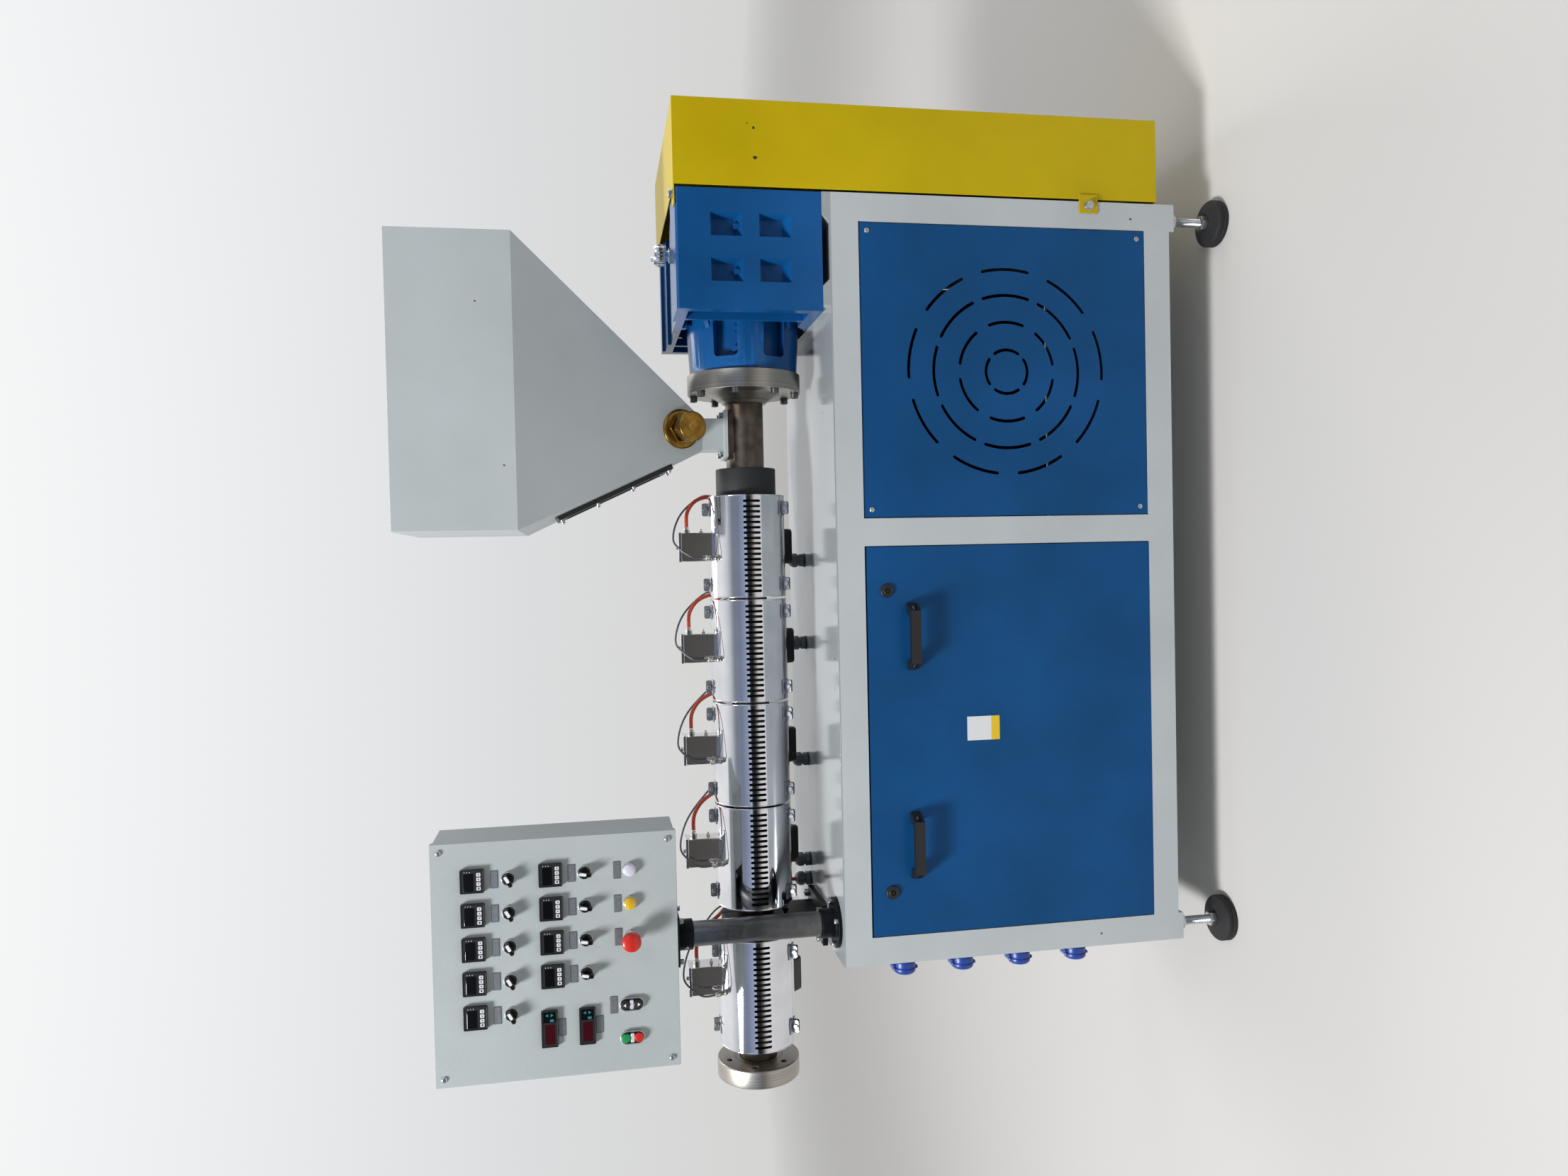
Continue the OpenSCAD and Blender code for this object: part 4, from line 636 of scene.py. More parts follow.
join_into(sockets, block((-7, -30, 43), (7, -22, 49), 1.4), *socket_places, slot=0)
hinge = turned([(0, -13), (2.2, -13), (2.2, 13), (0, 13)], 20, 0.3)
join_into(sockets, hinge, *[p @ facing((0, 29, 45), (1, 0, 0)) for p in socket_places], slot=1)
corners = [Matrix.Translation((x, y, 5)) for x in (-20, 20) for y in (-20, 20)]
join_into(sockets, cap_head(3.6), *[p @ c for p in socket_places for c in corners], slot=1)
add_piece("flip_lid_sockets", sockets, (blue_polyamide, zinc_plate), ("power_sockets",))


# Feet: black rubber pads on zinc-plated threaded spindles, set in height by a nut and locked by another
# below the leg.
LEGS = [(x, y) for x in (30, 1645) for y in (30, 525)]

# Black rubber, matt from dust
black_rubber = moulded("black_rubber", "1B1B1C", 0.75, 6, 0.25)
pads = bmesh.new()
join_into(pads, turned([
    (0, 0), (48, 0), (52, 3), (52, 9), (50.6, 10.5), (50.6, 12), (52, 13.5), (52, 21), (49, 25), (30, 28.5),
    (22, 30), (10.2, 30), (10.2, 26), (0, 26)], 64, 0.8), *[Matrix.Translation((x, y, 0)) for x, y in LEGS])
add_piece("rubber_pads", pads, black_rubber, ("foot_pads",))

spindles = bmesh.new()
thread = [(0, 22), (9.6, 22), (9.6, 44)]
for k in range(33):
    thread += [(8.7, 44.6 + 2.5 * k), (10, 45.85 + 2.5 * k)]
thread += [(9.6, 150), (0, 150)]
join_into(spindles, turned(thread, 28), *[Matrix.Translation((x, y, 0)) for x, y in LEGS])
for z, height in ((30.2, 15), (109, 12)):
    join_into(spindles, hex_head(30, height), *[Matrix.Translation((x, y, z)) for x, y in LEGS])
join_into(spindles, turned([(10.3, 121), (18, 121), (18, 124.6), (10.3, 124.6), (10.3, 121)], 40, 0.4),
          *[Matrix.Translation((x, y, 0)) for x, y in LEGS])
add_piece("threaded_spindles", spindles, zinc_plate, ("foot_spindles",))


# Gearbox housing and bell: grey iron castings, machined on their faces and sprayed blue over all bolts.
# The bell nose takes the barrel flange; its side windows give room for the nuts behind.
# Blue enamel on castings, with the faint ripple of the sand mould under it
blue_casting_paint = painted("blue_casting_paint", "0B467A", "115797", 14.0, 0.2, 0.22, shine=0.3)
softened("gearbox_housing", blue_casting_paint, 1.6)
softened("gearbox_bell", blue_casting_paint, 1.0)


# Breather cap: pressed steel with a knurled rim, chromium-plated, screwed into the gearbox roof.
# Bright chromium plate, a near mirror
chrome = metal("chrome_plate", "D8DADC", "E6E7E8", 0.06, 30, 0.01)
softened("breather_cap", chrome, 0.5)


# Belt guard: folded 2 mm sheet over the whole right end, seam-welded at the corners and powder-coated
# yellow. Two tabs on the gearbox roof and one on each side of the frame hold it with hexagon bolts.
TAB_BOLTS = (
    ((1665, 18, 1258), (0, 0, 1)), ((1665, 488, 1258), (0, 0, 1)),
    ((1665, -3, 332), (0, -1, 0)), ((1665, 558, 332), (0, 1, 0)),
)

# Yellow powder coat, chipped down to dark primer near the top
yellow_powder_coat = painted("yellow_powder_coat", "BBA300", "C9B103", 4.0, 0.15, 0.38, (
    ((0.9715, -0.2635, 1.083), 7), ((1.0345, -0.2635, 1.085), 5), ((1.0435, -0.2635, 1.099), 4),
    ((1.0935, -0.2635, 0.42), 4)), shine=0.2)
softened("belt_guard", yellow_powder_coat, 2.5, 3)
bolts = bmesh.new()
bolt_places = [facing(spot, direction, 11) for spot, direction in TAB_BOLTS]
join_into(bolts, turned([(5.2, 0), (11, 0), (11, 1.9), (5.2, 1.9), (5.2, 0)], 32, 0.25), *bolt_places)
join_into(bolts, turned([(0, 1.9), (8.2, 1.9), (8.2, 2.6), (0, 2.6)], 32), *bolt_places)
join_into(bolts, hex_head(17, 6.4), *[p @ Matrix.Translation((0, 0, 2.6)) for p in bolt_places])
join_into(bolts, turned([(0, -2.9), (4.9, -2.9), (4.9, 2), (0, 2)], 24), *bolt_places)
add_piece("tab_bolts", bolts, zinc_plate, ("guard_bolts",))


# Barrel: nitrided steel with a saddle for the hopper, browned by heat and stained at the feed section.
# The screw runs in it and shows at the die end.
AXIS_Y, AXIS_Z = 255, 1082
AXIS_PLACE = (0, -0.0085, 1.082)


def turned_metal(name, dark, light, roughness):
    """Steel turned on a lathe. Its rings are too fine to show, so they are drawn 2.5 mm wide and faint."""
    material, tree, shader, place = new_finish(name, dark, roughness, Metallic=1.0, Anisotropic=0.55)
    offset = add_node(tree, "ShaderNodeVectorMath", {0: place, 1: AXIS_PLACE}, operation="SUBTRACT").outputs[0]
    parts = add_node(tree, "ShaderNodeSeparateXYZ", {"Vector": offset}).outputs
    across = add_node(tree, "ShaderNodeCombineXYZ", {"Y": parts["Y"], "Z": parts["Z"]}).outputs[0]
    radius = add_node(tree, "ShaderNodeVectorMath", {0: across}, operation="LENGTH").outputs["Value"]
    rings = speckle(tree, add_node(tree, "ShaderNodeCombineXYZ", {"X": parts["X"], "Y": radius}).outputs[0], 2.5)
    tree.links.new(ramp(tree, rings, (0.3, dark), (0.7, light)), shader.inputs["Base Color"])
    tangent = add_node(tree, "ShaderNodeVectorMath", {0: (1, 0, 0), 1: offset}, operation="CROSS_PRODUCT")
    tree.links.new(tangent.outputs[0], shader.inputs["Tangent"])
    bumped(tree, shader, rings, 0.03)
    return material


def on_axis(x):
    """A part's z axis laid along the barrel, from a place on it."""
    return facing((x, AXIS_Y, AXIS_Z), (1, 0, 0))


# Nitrided steel with a brown heat tint and dark stains of oil and dust
heat_tinted = metal("heat_tinted_steel", "4C443E", "7C7067", 0.42, 34, 0.06)
# Turned steel left bare, satin, with a faint warm tint
turned_steel = turned_metal("turned_steel", "8A867F", "B4B0A9", 0.3)
softened("barrel", heat_tinted, 1.0)
dress(turned_steel, "feed_screw")


# Barrel flange: a turned steel ring with a tapered hub, bolted to the bell by eight cap screws.
FLANGE_SCREWS = [math.radians(253 - 45 * k) for k in range(8)]

# Cap screws of class 12.9, black oxide gone grey
screw_steel = metal("cap_screw_steel", "5B5B5A", "7E7D7A", 0.34, 8)
flange = bmesh.new()
join_into(flange, turned([
    (44.3, 0), (50, 0), (53, 3), (80, 21), (84, 22), (132, 22), (132, 64), (124, 64), (124, 63.4), (44.3, 63.4),
    (44.3, 0)], 128, 1.0, 3), on_axis(1257))
add_piece("hub_flange", flange, turned_steel, ("barrel_flange",))
screws = bmesh.new()
places = [facing((1279, AXIS_Y + 120 * math.sin(a), AXIS_Z - 120 * math.cos(a)), (-1, 0, 0), 7 * k)
          for k, a in enumerate(FLANGE_SCREWS)]
join_into(screws, cap_head(12), *places, slot=0)
join_into(screws, turned([(0, 0.05), (10.4, 0.05), (10.4, 0.5), (0, 0.5)], 32), *places, slot=1)
# Shadow-dark bottom of a counterbore
bore_dark = new_finish("counterbore_dark", "2B2A29", 0.6, Metallic=1.0)[0]
add_piece("flange_screws", screws, (screw_steel, bore_dark))
softened("die_flange", turned_steel, 1.0, 3)


# Thermal collar: a plain ring of heat-proof black laminate between the last band and the hopper saddle.
# Glass laminate, dull black
black_laminate = moulded("black_laminate", "19191A", 0.6, 4, 0.15)
collar = bmesh.new()
join_into(collar, turned([(44.3, 0), (70, 0), (70, 63), (44.3, 63), (44.3, 0)], 96, 1.6, 3), on_axis(1041.5))
add_piece("laminate_collar", collar, black_laminate, ("thermal_collar",))


# Heater bands: ribbed ceramic cores under mirror-polished stainless sheet, rolled round the barrel with a
# row of slits in front and behind, a beaded rim at each end and three seams where the clamps pull.
BANDS = ((805.5, 1041, 18), (565.5, 801, 18), (325.5, 561, 18), (85.5, 321, 18), (-246, 13, 20))
BAND_RADIUS = 89
BAND_BORE = 44.4
SHEET, BEAD = 1.2, 1.5
SLIT_PITCH, SLIT_WIDTH, SLIT_HALF_ARC = 12.1, 6, 13
SEAMS = (92, 240)
SEAM_HALF = 0.35


def wire_ring(radius, height, thick, sides, steps):
    """A round wire bent into a ring about its own z axis."""
    turns = [math.tau * k / sides for k in range(sides + 1)]
    return turned([(radius + thick * math.cos(t), height + thick * math.sin(t)) for t in turns], steps)


def slit_sheet(length, slits):
    """The sheet of one band about the barrel's axis, with round-ended slits and open seams."""
    end = math.degrees(SLIT_WIDTH / 2 / BAND_RADIUS)
    rows = {float(a) for a in range(-55, 300, 5)} - {240.0} | {-60 + SEAM_HALF, 300 - SEAM_HALF}
    for face in (0, 180):
        rows |= {face + s * a for s in (-1, 1) for a in (SLIT_HALF_ARC, SLIT_HALF_ARC - end)}
    for seam in SEAMS:
        rows |= {seam - SEAM_HALF, seam + SEAM_HALF}
    rows = sorted(rows)
    middles = [length / 2 + (k - (slits - 1) / 2) * SLIT_PITCH for k in range(slits)]
    columns = [0, *[m + d for m in middles for d in (-SLIT_WIDTH / 2, 0, SLIT_WIDTH / 2)], length]

    def in_slit(x, angle, slack):
        off = min(abs(angle), abs(angle - 180))
        return off < SLIT_HALF_ARC + slack and any(abs(x - m) < SLIT_WIDTH / 2 + slack for m in middles)

    part = grid_on(columns, rows)
    gaps = []
    for face in part.faces:
        x, angle = face.calc_center_median()[:2]
        if in_slit(x, angle, 0) or any(abs(angle - seam) < SEAM_HALF for seam in SEAMS):
            gaps.append(face)
    bmesh.ops.delete(part, geom=gaps, context="FACES")
    for v in part.verts:
        x, angle = v.co[:2]
        off = angle if abs(angle) < 90 else angle - 180
        corner = [m for m in middles if abs(abs(x - m) - SLIT_WIDTH / 2) < 0.01]
        if corner and abs(abs(off) - SLIT_HALF_ARC) < 0.01:
            v.co.x += math.copysign(SLIT_WIDTH * 0.146, corner[0] - x)
            v.co.y -= math.copysign(end * 0.293, off)
    outside = part.faces[:]
    made = bmesh.ops.extrude_face_region(part, geom=outside)["geom"]
    inner = {v for v in made if isinstance(v, bmesh.types.BMVert)}
    for v in part.verts:
        r = BAND_RADIUS - SHEET if v in inner else BAND_RADIUS
        x, angle = v.co.x, math.radians(v.co.y)
        v.co = (x, -r * math.cos(angle), r * math.sin(angle))
    bmesh.ops.recalc_face_normals(part, faces=part.faces)
    return part


# Mirror-polished stainless sheet, slightly wavy from rolling
mirror_stainless = metal("mirror_stainless", "CFD1D6", "E0E1E5", 0.05, 70, 0.02)
# Dark cordierite, fired in ribs
dark_ceramic = moulded("dark_ceramic", "24211F", 0.8, 5, 0.3)
for i, (left, right, slits) in enumerate(BANDS):
    length = right - left
    band = bmesh.new()
    join_into(band, slit_sheet(length, slits), Matrix.Translation((left, AXIS_Y, AXIS_Z)), slot=0)
    disc = [(BAND_BORE, 0), (88, 0), (88, SHEET), (BAND_BORE, SHEET), (BAND_BORE, 0)]
    join_into(band, turned(disc, 96), on_axis(left), on_axis(right - SHEET), slot=0)
    join_into(band, wire_ring(88.1, 0, BEAD, 12, 96), on_axis(left + BEAD), on_axis(right - BEAD), slot=0)
    core = [(BAND_BORE, 4), (70, 4)]
    for k in range(int((length - 16) / 8)):
        core += [(70, 8 + 8 * k), (76, 9.5 + 8 * k), (76, 13 + 8 * k), (70, 14.5 + 8 * k)]
    core += [(70, length - 4), (BAND_BORE, length - 4), (BAND_BORE, 4)]
    join_into(band, turned(core, 72), on_axis(left), slot=1)
    add_piece(f"band_shell_{i + 1}", band, (mirror_stainless, dark_ceramic), (f"heater_band_{i + 1}",))


# Band clamps: three pairs of spot-welded lugs near each end of every band, drawn together by a cap screw
# and nut across the seam.
CLAMP_ANGLES = (92, -60, 240)
CLAMP_OFFSET = 88
CLAMP_SIDE = 34


def round_axis(x, angle):
    """Out of the barrel's surface, at an angle above the front; lengths count from the axis."""
    return Matrix.Translation((x, AXIS_Y, AXIS_Z)) @ Matrix.Rotation(math.radians(90 - angle), 4, "X")


def rolled(part, radius):
    """Bends a flat part round the x axis, so that its plane lies on a radius."""
    for v in part.verts:
        r, turn = radius + v.co.z, v.co.y / radius
        v.co = (v.co.x, r * math.sin(turn), r * math.cos(turn))
    return part


band_middles = [(left + right) / 2 for left, right, slits in BANDS]
clamp_places = [round_axis(m + s * CLAMP_OFFSET, angle)
                for m in band_middles for s in (-1, 1) for angle in CLAMP_ANGLES]
clamps = bmesh.new()
for y in (-1, 1):
    flap = bmesh.new()
    bmesh.ops.create_grid(flap, x_segments=1, y_segments=4, size=0.5)
    bmesh.ops.scale(flap, vec=(CLAMP_SIDE, CLAMP_SIDE / 2 - 3.4, 1), verts=flap.verts)
    bmesh.ops.translate(flap, vec=(0, y * (CLAMP_SIDE / 4 + 1.7), 0), verts=flap.verts)
    pull_up(flap, flap.faces[:], (0, 0, 1.5))
    join_into(clamps, rolled(ease_edges(flap, 0.4, 2), BAND_RADIUS + 0.15), *clamp_places, slot=0)
for y in (-3, 4.5):
    lug = plate(rounded_outline(30, 14, 4, 4), 0, 1.5, 0.35, 1)
    stand = Matrix.Translation((0, y, BAND_RADIUS + 8.5)) @ Matrix.Rotation(math.radians(90), 4, "X")
    join_into(clamps, lug, *[p @ stand for p in clamp_places], slot=0)
    foot = block((-15, min(y - 1.5, 3), BAND_RADIUS), (15, max(y, -3), BAND_RADIUS + 3), 0.7)
    join_into(clamps, foot, *clamp_places, slot=0)
weld = turned([(0, 0.6), (1.1, 0.45), (1.8, 0)], 10)
dots = [round_axis(0, 0).inverted() @ round_axis(0, a) @ Matrix.Translation((x, 0, BAND_RADIUS + 1.6))
        for x in (-13.5, -9, 9, 13.5) for a in (-9.4, -6.8, 6.8, 9.4)]
join_into(clamps, weld, *[p @ d for p in clamp_places for d in dots], slot=0)
across_seam = Matrix.Translation((0, -4.4, BAND_RADIUS + 9)) @ Matrix.Rotation(math.radians(90), 4, "X")
screw_places = [p @ across_seam for p in clamp_places]
join_into(clamps, cap_head(6), *screw_places, slot=1)
join_into(clamps, turned([(0, -13), (2.9, -13), (2.9, 0.5), (0, 0.5)], 16), *screw_places, slot=1)
join_into(clamps, hex_head(10, 3.6), *[p @ Matrix.Translation((0, 0, -12.4)) for p in screw_places], slot=1)
# Stainless sheet as rolled, brushed by handling
satin_stainless = metal("satin_stainless", "9C9DA0", "B7B8BB", 0.34, 14, 0.05)
add_piece("seam_clamps", clamps, (satin_stainless, zinc_plate), ("band_clamps",))


# Terminal boxes: folded mirror-polished sheet spot-welded on each band over its connections, with a lid,
# an earth stud and a screwed fitting for the sleeved lead.
TERMINAL_DEPTH = 54
TERMINAL_FOOT = 1164
LID, LID_LIP = 1.2, 6
ENTRY_DROP, STUD_DROP = 20, 54
front, back = AXIS_Y - TERMINAL_DEPTH / 2, AXIS_Y + TERMINAL_DEPTH / 2
boxes = bmesh.new()
fittings = bmesh.new()
for x in TERMINAL_XS:
    left, right = x - TERMINAL_HALF, x + TERMINAL_HALF
    join_into(boxes, block((left, front, TERMINAL_FOOT), (right, back, TERMINAL_TOP), 1.4, 3))
    lid = block((left - LID, front - LID, TERMINAL_TOP - LID_LIP),
                (right + LID, back + LID, TERMINAL_TOP + LID), LID, 3)
    join_into(boxes, lid)
    for s in (-1, 1):
        foot = bmesh.new()
        bmesh.ops.create_grid(foot, x_segments=1, y_segments=2, size=0.5)
        bmesh.ops.scale(foot, vec=(64, 11, 1), verts=foot.verts)
        bmesh.ops.translate(foot, vec=(0, s * 33, 0), verts=foot.verts)
        pull_up(foot, foot.faces[:], (0, 0, 1))
        join_into(boxes, rolled(ease_edges(foot, 0.3, 1), BAND_RADIUS + 0.1), round_axis(x, 90))
    join_into(fittings, hex_head(9, 4), facing((x, AXIS_Y, TERMINAL_TOP + LID), (0, 0, 1)), slot=0)
    entry = facing((right, AXIS_Y, TERMINAL_TOP - ENTRY_DROP), (1, 0, 0))
    join_into(fittings, hex_head(14, 8), entry, slot=0)
    join_into(fittings, turned([
        (0, 0), (5.6, 0), (5.6, 12.4), (4.8, 13.6), (4.4, 13.6), (4.4, 12), (0, 12)], 24, 0.2), entry, slot=0)
    stud = facing((right, AXIS_Y, TERMINAL_TOP - STUD_DROP), (1, 0, 0), 15)
    join_into(fittings, turned([
        (0, 0), (5, 0), (5, 1), (2.4, 1), (2.4, 9), (2, 9.6), (0, 9.6)], 24, 0.1), stud, slot=0)
    join_into(fittings, hex_head(8, 3.6), stud @ Matrix.Translation((0, 0, 1)), slot=0)
add_piece("connection_boxes", boxes, mirror_stainless, ("terminal_boxes",))

# Probe fittings: a nickel-plated brass socket on each band takes the thermocouple by a bayonet cap,
# which a spring presses down.
for x in TERMINAL_XS:
    seat = round_axis(x - 25, 64) @ Matrix.Translation((0, 0, BAND_RADIUS + 0.1))
    join_into(fittings, turned([
        (0, 0), (7, 0), (7, 3.6), (4.6, 4.6), (4.6, 15), (6.4, 16), (6.4, 25), (4.6, 27), (3, 27.4), (3, 29.4),
        (0, 29.4)], 28, 0.3), seat, slot=0)
    for k in range(5):
        join_into(fittings, wire_ring(4.9, 5.6 + 2 * k, 0.6, 8, 24), seat, slot=0)
# Bright nickel plate
nickel_plate = metal("nickel_plate", "B4B0A8", "D0CCC4", 0.16, 10)
add_piece("box_fittings", fittings, nickel_plate)


# Cooling fans: square black blowers on the back and underside of every band, with a wire guard over the
# rotor.
FAN_ANGLE = 228
FAN_SIDE, FAN_FOOT, FAN_DECK, FAN_TOP = 84, 84, 100, 120


def holed_plate(outer, inner, low, high, ease=0.0, segments=2):
    """A flat part between two outlines with as many points each."""
    part = bmesh.new()
    loops = [[part.verts.new((x, y, low)) for x, y in outline] for outline in (outer, inner)]
    count = len(outer)
    faces = [part.faces.new((loops[0][k], loops[0][(k + 1) % count], loops[1][(k + 1) % count], loops[1][k]))
             for k in range(count)]
    pull_up(part, faces, (0, 0, high - low))
    return ease_edges(part, ease, segments) if ease else part


def ring_like(outline, radius):
    """A circle with a point in the direction of each point of an outline."""
    return [(radius * x / math.hypot(x, y), radius * y / math.hypot(x, y)) for x, y in outline]


fans = bmesh.new()
fan_places = [round_axis(m, FAN_ANGLE) for m in band_middles]
square = rounded_outline(FAN_SIDE, FAN_SIDE, 8, 8)
join_into(fans, plate(square, FAN_FOOT, FAN_DECK, 1), *fan_places, slot=0)
join_into(fans, holed_plate(square, ring_like(square, 36), FAN_DECK - 0.5, FAN_TOP, 1), *fan_places, slot=0)
join_into(fans, turned([(0, 99), (14.5, 99), (14.5, 115.5), (13, 117), (0, 117)], 40, 0.6), *fan_places, slot=0)
for k in range(7):
    blade = block((13, -0.9, -7), (34.5, 0.9, 7), 0.6)
    tilt = Matrix.Rotation(math.tau * k / 7, 4, "Z") @ Matrix.Rotation(math.radians(48), 4, "X")
    join_into(fans, blade, *[p @ Matrix.Translation((0, 0, 109)) @ tilt for p in fan_places], slot=0)
for radius in (12, 19.5, 27, 34.5):
    join_into(fans, wire_ring(radius, 119, 0.9, 8, 40), *fan_places, slot=1)
for k in range(4):
    spoke = turned([(0, 11), (0.9, 11), (0.9, 45), (0, 45)], 10)
    lay = Matrix.Translation((0, 0, 118.6)) @ Matrix.Rotation(math.radians(45 + 90 * k), 4, "Z")
    join_into(fans, spoke, *[p @ lay @ Matrix.Rotation(math.radians(90), 4, "Y") for p in fan_places], slot=1)
corners = [Matrix.Translation((x, y, FAN_TOP - 2.6)) for x in (-35.5, 35.5) for y in (-35.5, 35.5)]
join_into(fans, cap_head(4), *[p @ c for p in fan_places for c in corners], slot=1)
add_piece("band_fans", fans, (black_nylon, zinc_plate), ("cooling_fans",))


# Barrel support: flame-cut steel blackened with oxide, a base plate bolted to the table, a post and a
# split ring closed by two cap screws.
SUPPORT_X = 43


def half_ring(inner, outer, gap_degrees):
    """The outline of the half of a ring above its split."""
    angles = [math.radians(gap_degrees + (180 - 2 * gap_degrees) * k / 40) for k in range(41)]
    return [(outer * math.cos(a), outer * math.sin(a)) for a in angles] + \
           [(inner * math.cos(a), inner * math.sin(a)) for a in reversed(angles)]


# Black oxide on steel, dull
black_oxide = metal("black_oxide", "202124", "2C2D30", 0.45, 18)
support = bmesh.new()
join_into(support, block((SUPPORT_X - 51, 168, 925), (SUPPORT_X + 43, 342, 937), 1.2), slot=0)
join_into(support, block((SUPPORT_X - 18, 200, 936), (SUPPORT_X + 18, 310, 1020), 1.2), slot=0)
for turn in (0, 180):
    half = plate(half_ring(44.3, 80, 1.1), 0, 36, 1)
    lay = Matrix.Rotation(math.radians(turn + 90), 4, "Z")
    join_into(support, half, on_axis(SUPPORT_X - 18) @ lay, slot=0)
join_into(support, cap_head(12), *[
    facing((SUPPORT_X + x, AXIS_Y + y, 937), (0, 0, 1), x) for x in (-35, 27) for y in (-75, 75)], slot=1)
join_into(support, cap_head(10), *[
    facing((SUPPORT_X, AXIS_Y + y, 1124), (0, 0, 1)) for y in (-62, 62)], slot=1)
add_piece("ring_support", support, (black_oxide, zinc_plate), ("barrel_support",))


# Cable glands: grey polyamide, a hexagon and a ribbed dome nut that presses a rubber seal on the two leads.
# Dark grey polyamide, satin
grey_polyamide = moulded("grey_polyamide", "666C72", 0.4)
glands = bmesh.new()
gland_places = [Matrix.Translation((x, 360, 925)) for x in GLAND_XS]
join_into(glands, turned([
    (13, 0), (16, 0), (16.9, 1.5), (16, 3), (13, 3), (13, 0)], 40, 0.2), *gland_places, slot=1)
join_into(glands, hex_head(30, 11), *[p @ Matrix.Translation((0, 0, 3)) for p in gland_places], slot=0)
join_into(glands, turned([
    (0, 13.8), (13, 13.8), (13, 17), (16, 18), (16, 31), (13.4, 35.6), (11, 38), (9.5, 38), (9.5, 34), (0, 34)],
    48, 0.5), *gland_places, slot=0)
for k in range(14):
    rib = block((15, -1.1, 19), (17, 1.1, 30), 0.7)
    bmesh.ops.rotate(rib, cent=(0, 0, 0), matrix=Matrix.Rotation(math.tau * k / 14, 3, "Z"), verts=rib.verts)
    join_into(glands, rib, *gland_places, slot=0)
join_into(glands, turned([(0, 33), (9.4, 33), (9.4, 37), (8.6, 37.9), (0, 37.9)], 32, 0.3), *gland_places, slot=1)
add_piece("dome_glands", glands, (grey_polyamide, black_rubber), ("cable_glands",))


# Hopper: 2 mm sheet welded along its corners, powder-coated; a straight box over a taper that leans to
# the right. Its neck stands on a square flange on the barrel's saddle.
FLANGE_BOLTS = [(1184 + x, 255 + y, 1136) for x in (-45, 45) for y in (-22, 22)]
HOPPER_SHEET = 2
HOPPER_SIZES = [(1148, 1220, 219, 291, 1186), (963, 1589, 55, 455, 1595), (963, 1589, 55, 455, 1850)]

# Light grey powder coat, smoother than on the frame, with two chips low on the box
hopper_paint = painted("hopper_powder_coat", "AFB7B9", "B9C0C3", 5.0, 0.1, 0.36, (
    ((0.3315, -0.2085, 1.62), 4), ((0.6715, -0.2085, 1.67), 4)))
hopper = bmesh.new()
loops = []
outside = [(*size, 0) for size in HOPPER_SIZES]
inside = [(*size, HOPPER_SHEET) for size in reversed(HOPPER_SIZES)]
for x0, x1, y0, y1, z, inset in outside + inside:
    corners = [(x0 + inset, y0 + inset, z), (x1 - inset, y0 + inset, z), (x1 - inset, y1 - inset, z),
               (x0 + inset, y1 - inset, z)]
    corners = [hopper.verts.new(corner) for corner in corners]
    loops.append([hopper.edges.new((a, b)) for a, b in zip(corners, corners[1:] + corners[:1])])
for loop, following in zip(loops, loops[1:] + loops[:1]):
    bmesh.ops.bridge_loops(hopper, edges=[*loop, *following])
bmesh.ops.recalc_face_normals(hopper, faces=hopper.faces)
add_piece("welded_hopper", ease_edges(hopper, 0.9, sharper=50), hopper_paint, ("hopper_shell",), sharper=20)
softened("hopper_neck", hopper_paint, 1.0)
bolts = bmesh.new()
join_into(bolts, cap_head(8.4), *[facing(spot, (0, 0, 1), 9) for spot in FLANGE_BOLTS])
add_piece("neck_bolts", bolts, zinc_plate)


# Hopper sight window: a smoked acrylic pane under a black frame on the left slope, held by eight screws.
WINDOW_LENGTH, WINDOW_WIDTH = 290, 100
SLOPE_PLACE = Matrix.Translation((1055.5, 255, 1390.5)) @ Matrix.Rotation(math.radians(-114.34), 4, "Y")

# Smoked acrylic, glossy
smoked_acrylic = new_finish("smoked_acrylic", "121415", 0.05, Coat_Weight=1.0, Coat_Roughness=0.02)[0]
window = bmesh.new()
opening = rounded_outline(WINDOW_LENGTH - 48, WINDOW_WIDTH - 40, 8, 6)
join_into(window, holed_plate(rounded_outline(WINDOW_LENGTH, WINDOW_WIDTH, 8, 6), opening, 0.1, 11, 1.2, 3),
          SLOPE_PLACE, slot=0)
join_into(window, block((-128, -37, 3), (128, 37, 7), 0.5), SLOPE_PLACE, slot=1)
bolts = [SLOPE_PLACE @ Matrix.Translation((x, y, 11)) for x in (-133, -44.3, 44.3, 133) for y in (-40, 40)]
join_into(window, cap_head(6), *bolts, slot=2)
add_piece("sight_window", window, (black_nylon, smoked_acrylic, zinc_plate), ("hopper_window",))


# Drain plug: a worn brass screw plug on the front slope near the neck: ring, two hexagons and a turned cap.
PLUG_PLACE = Matrix.Translation((1193, 198.95, 1236)) @ Matrix.Rotation(math.radians(111.85), 4, "X")

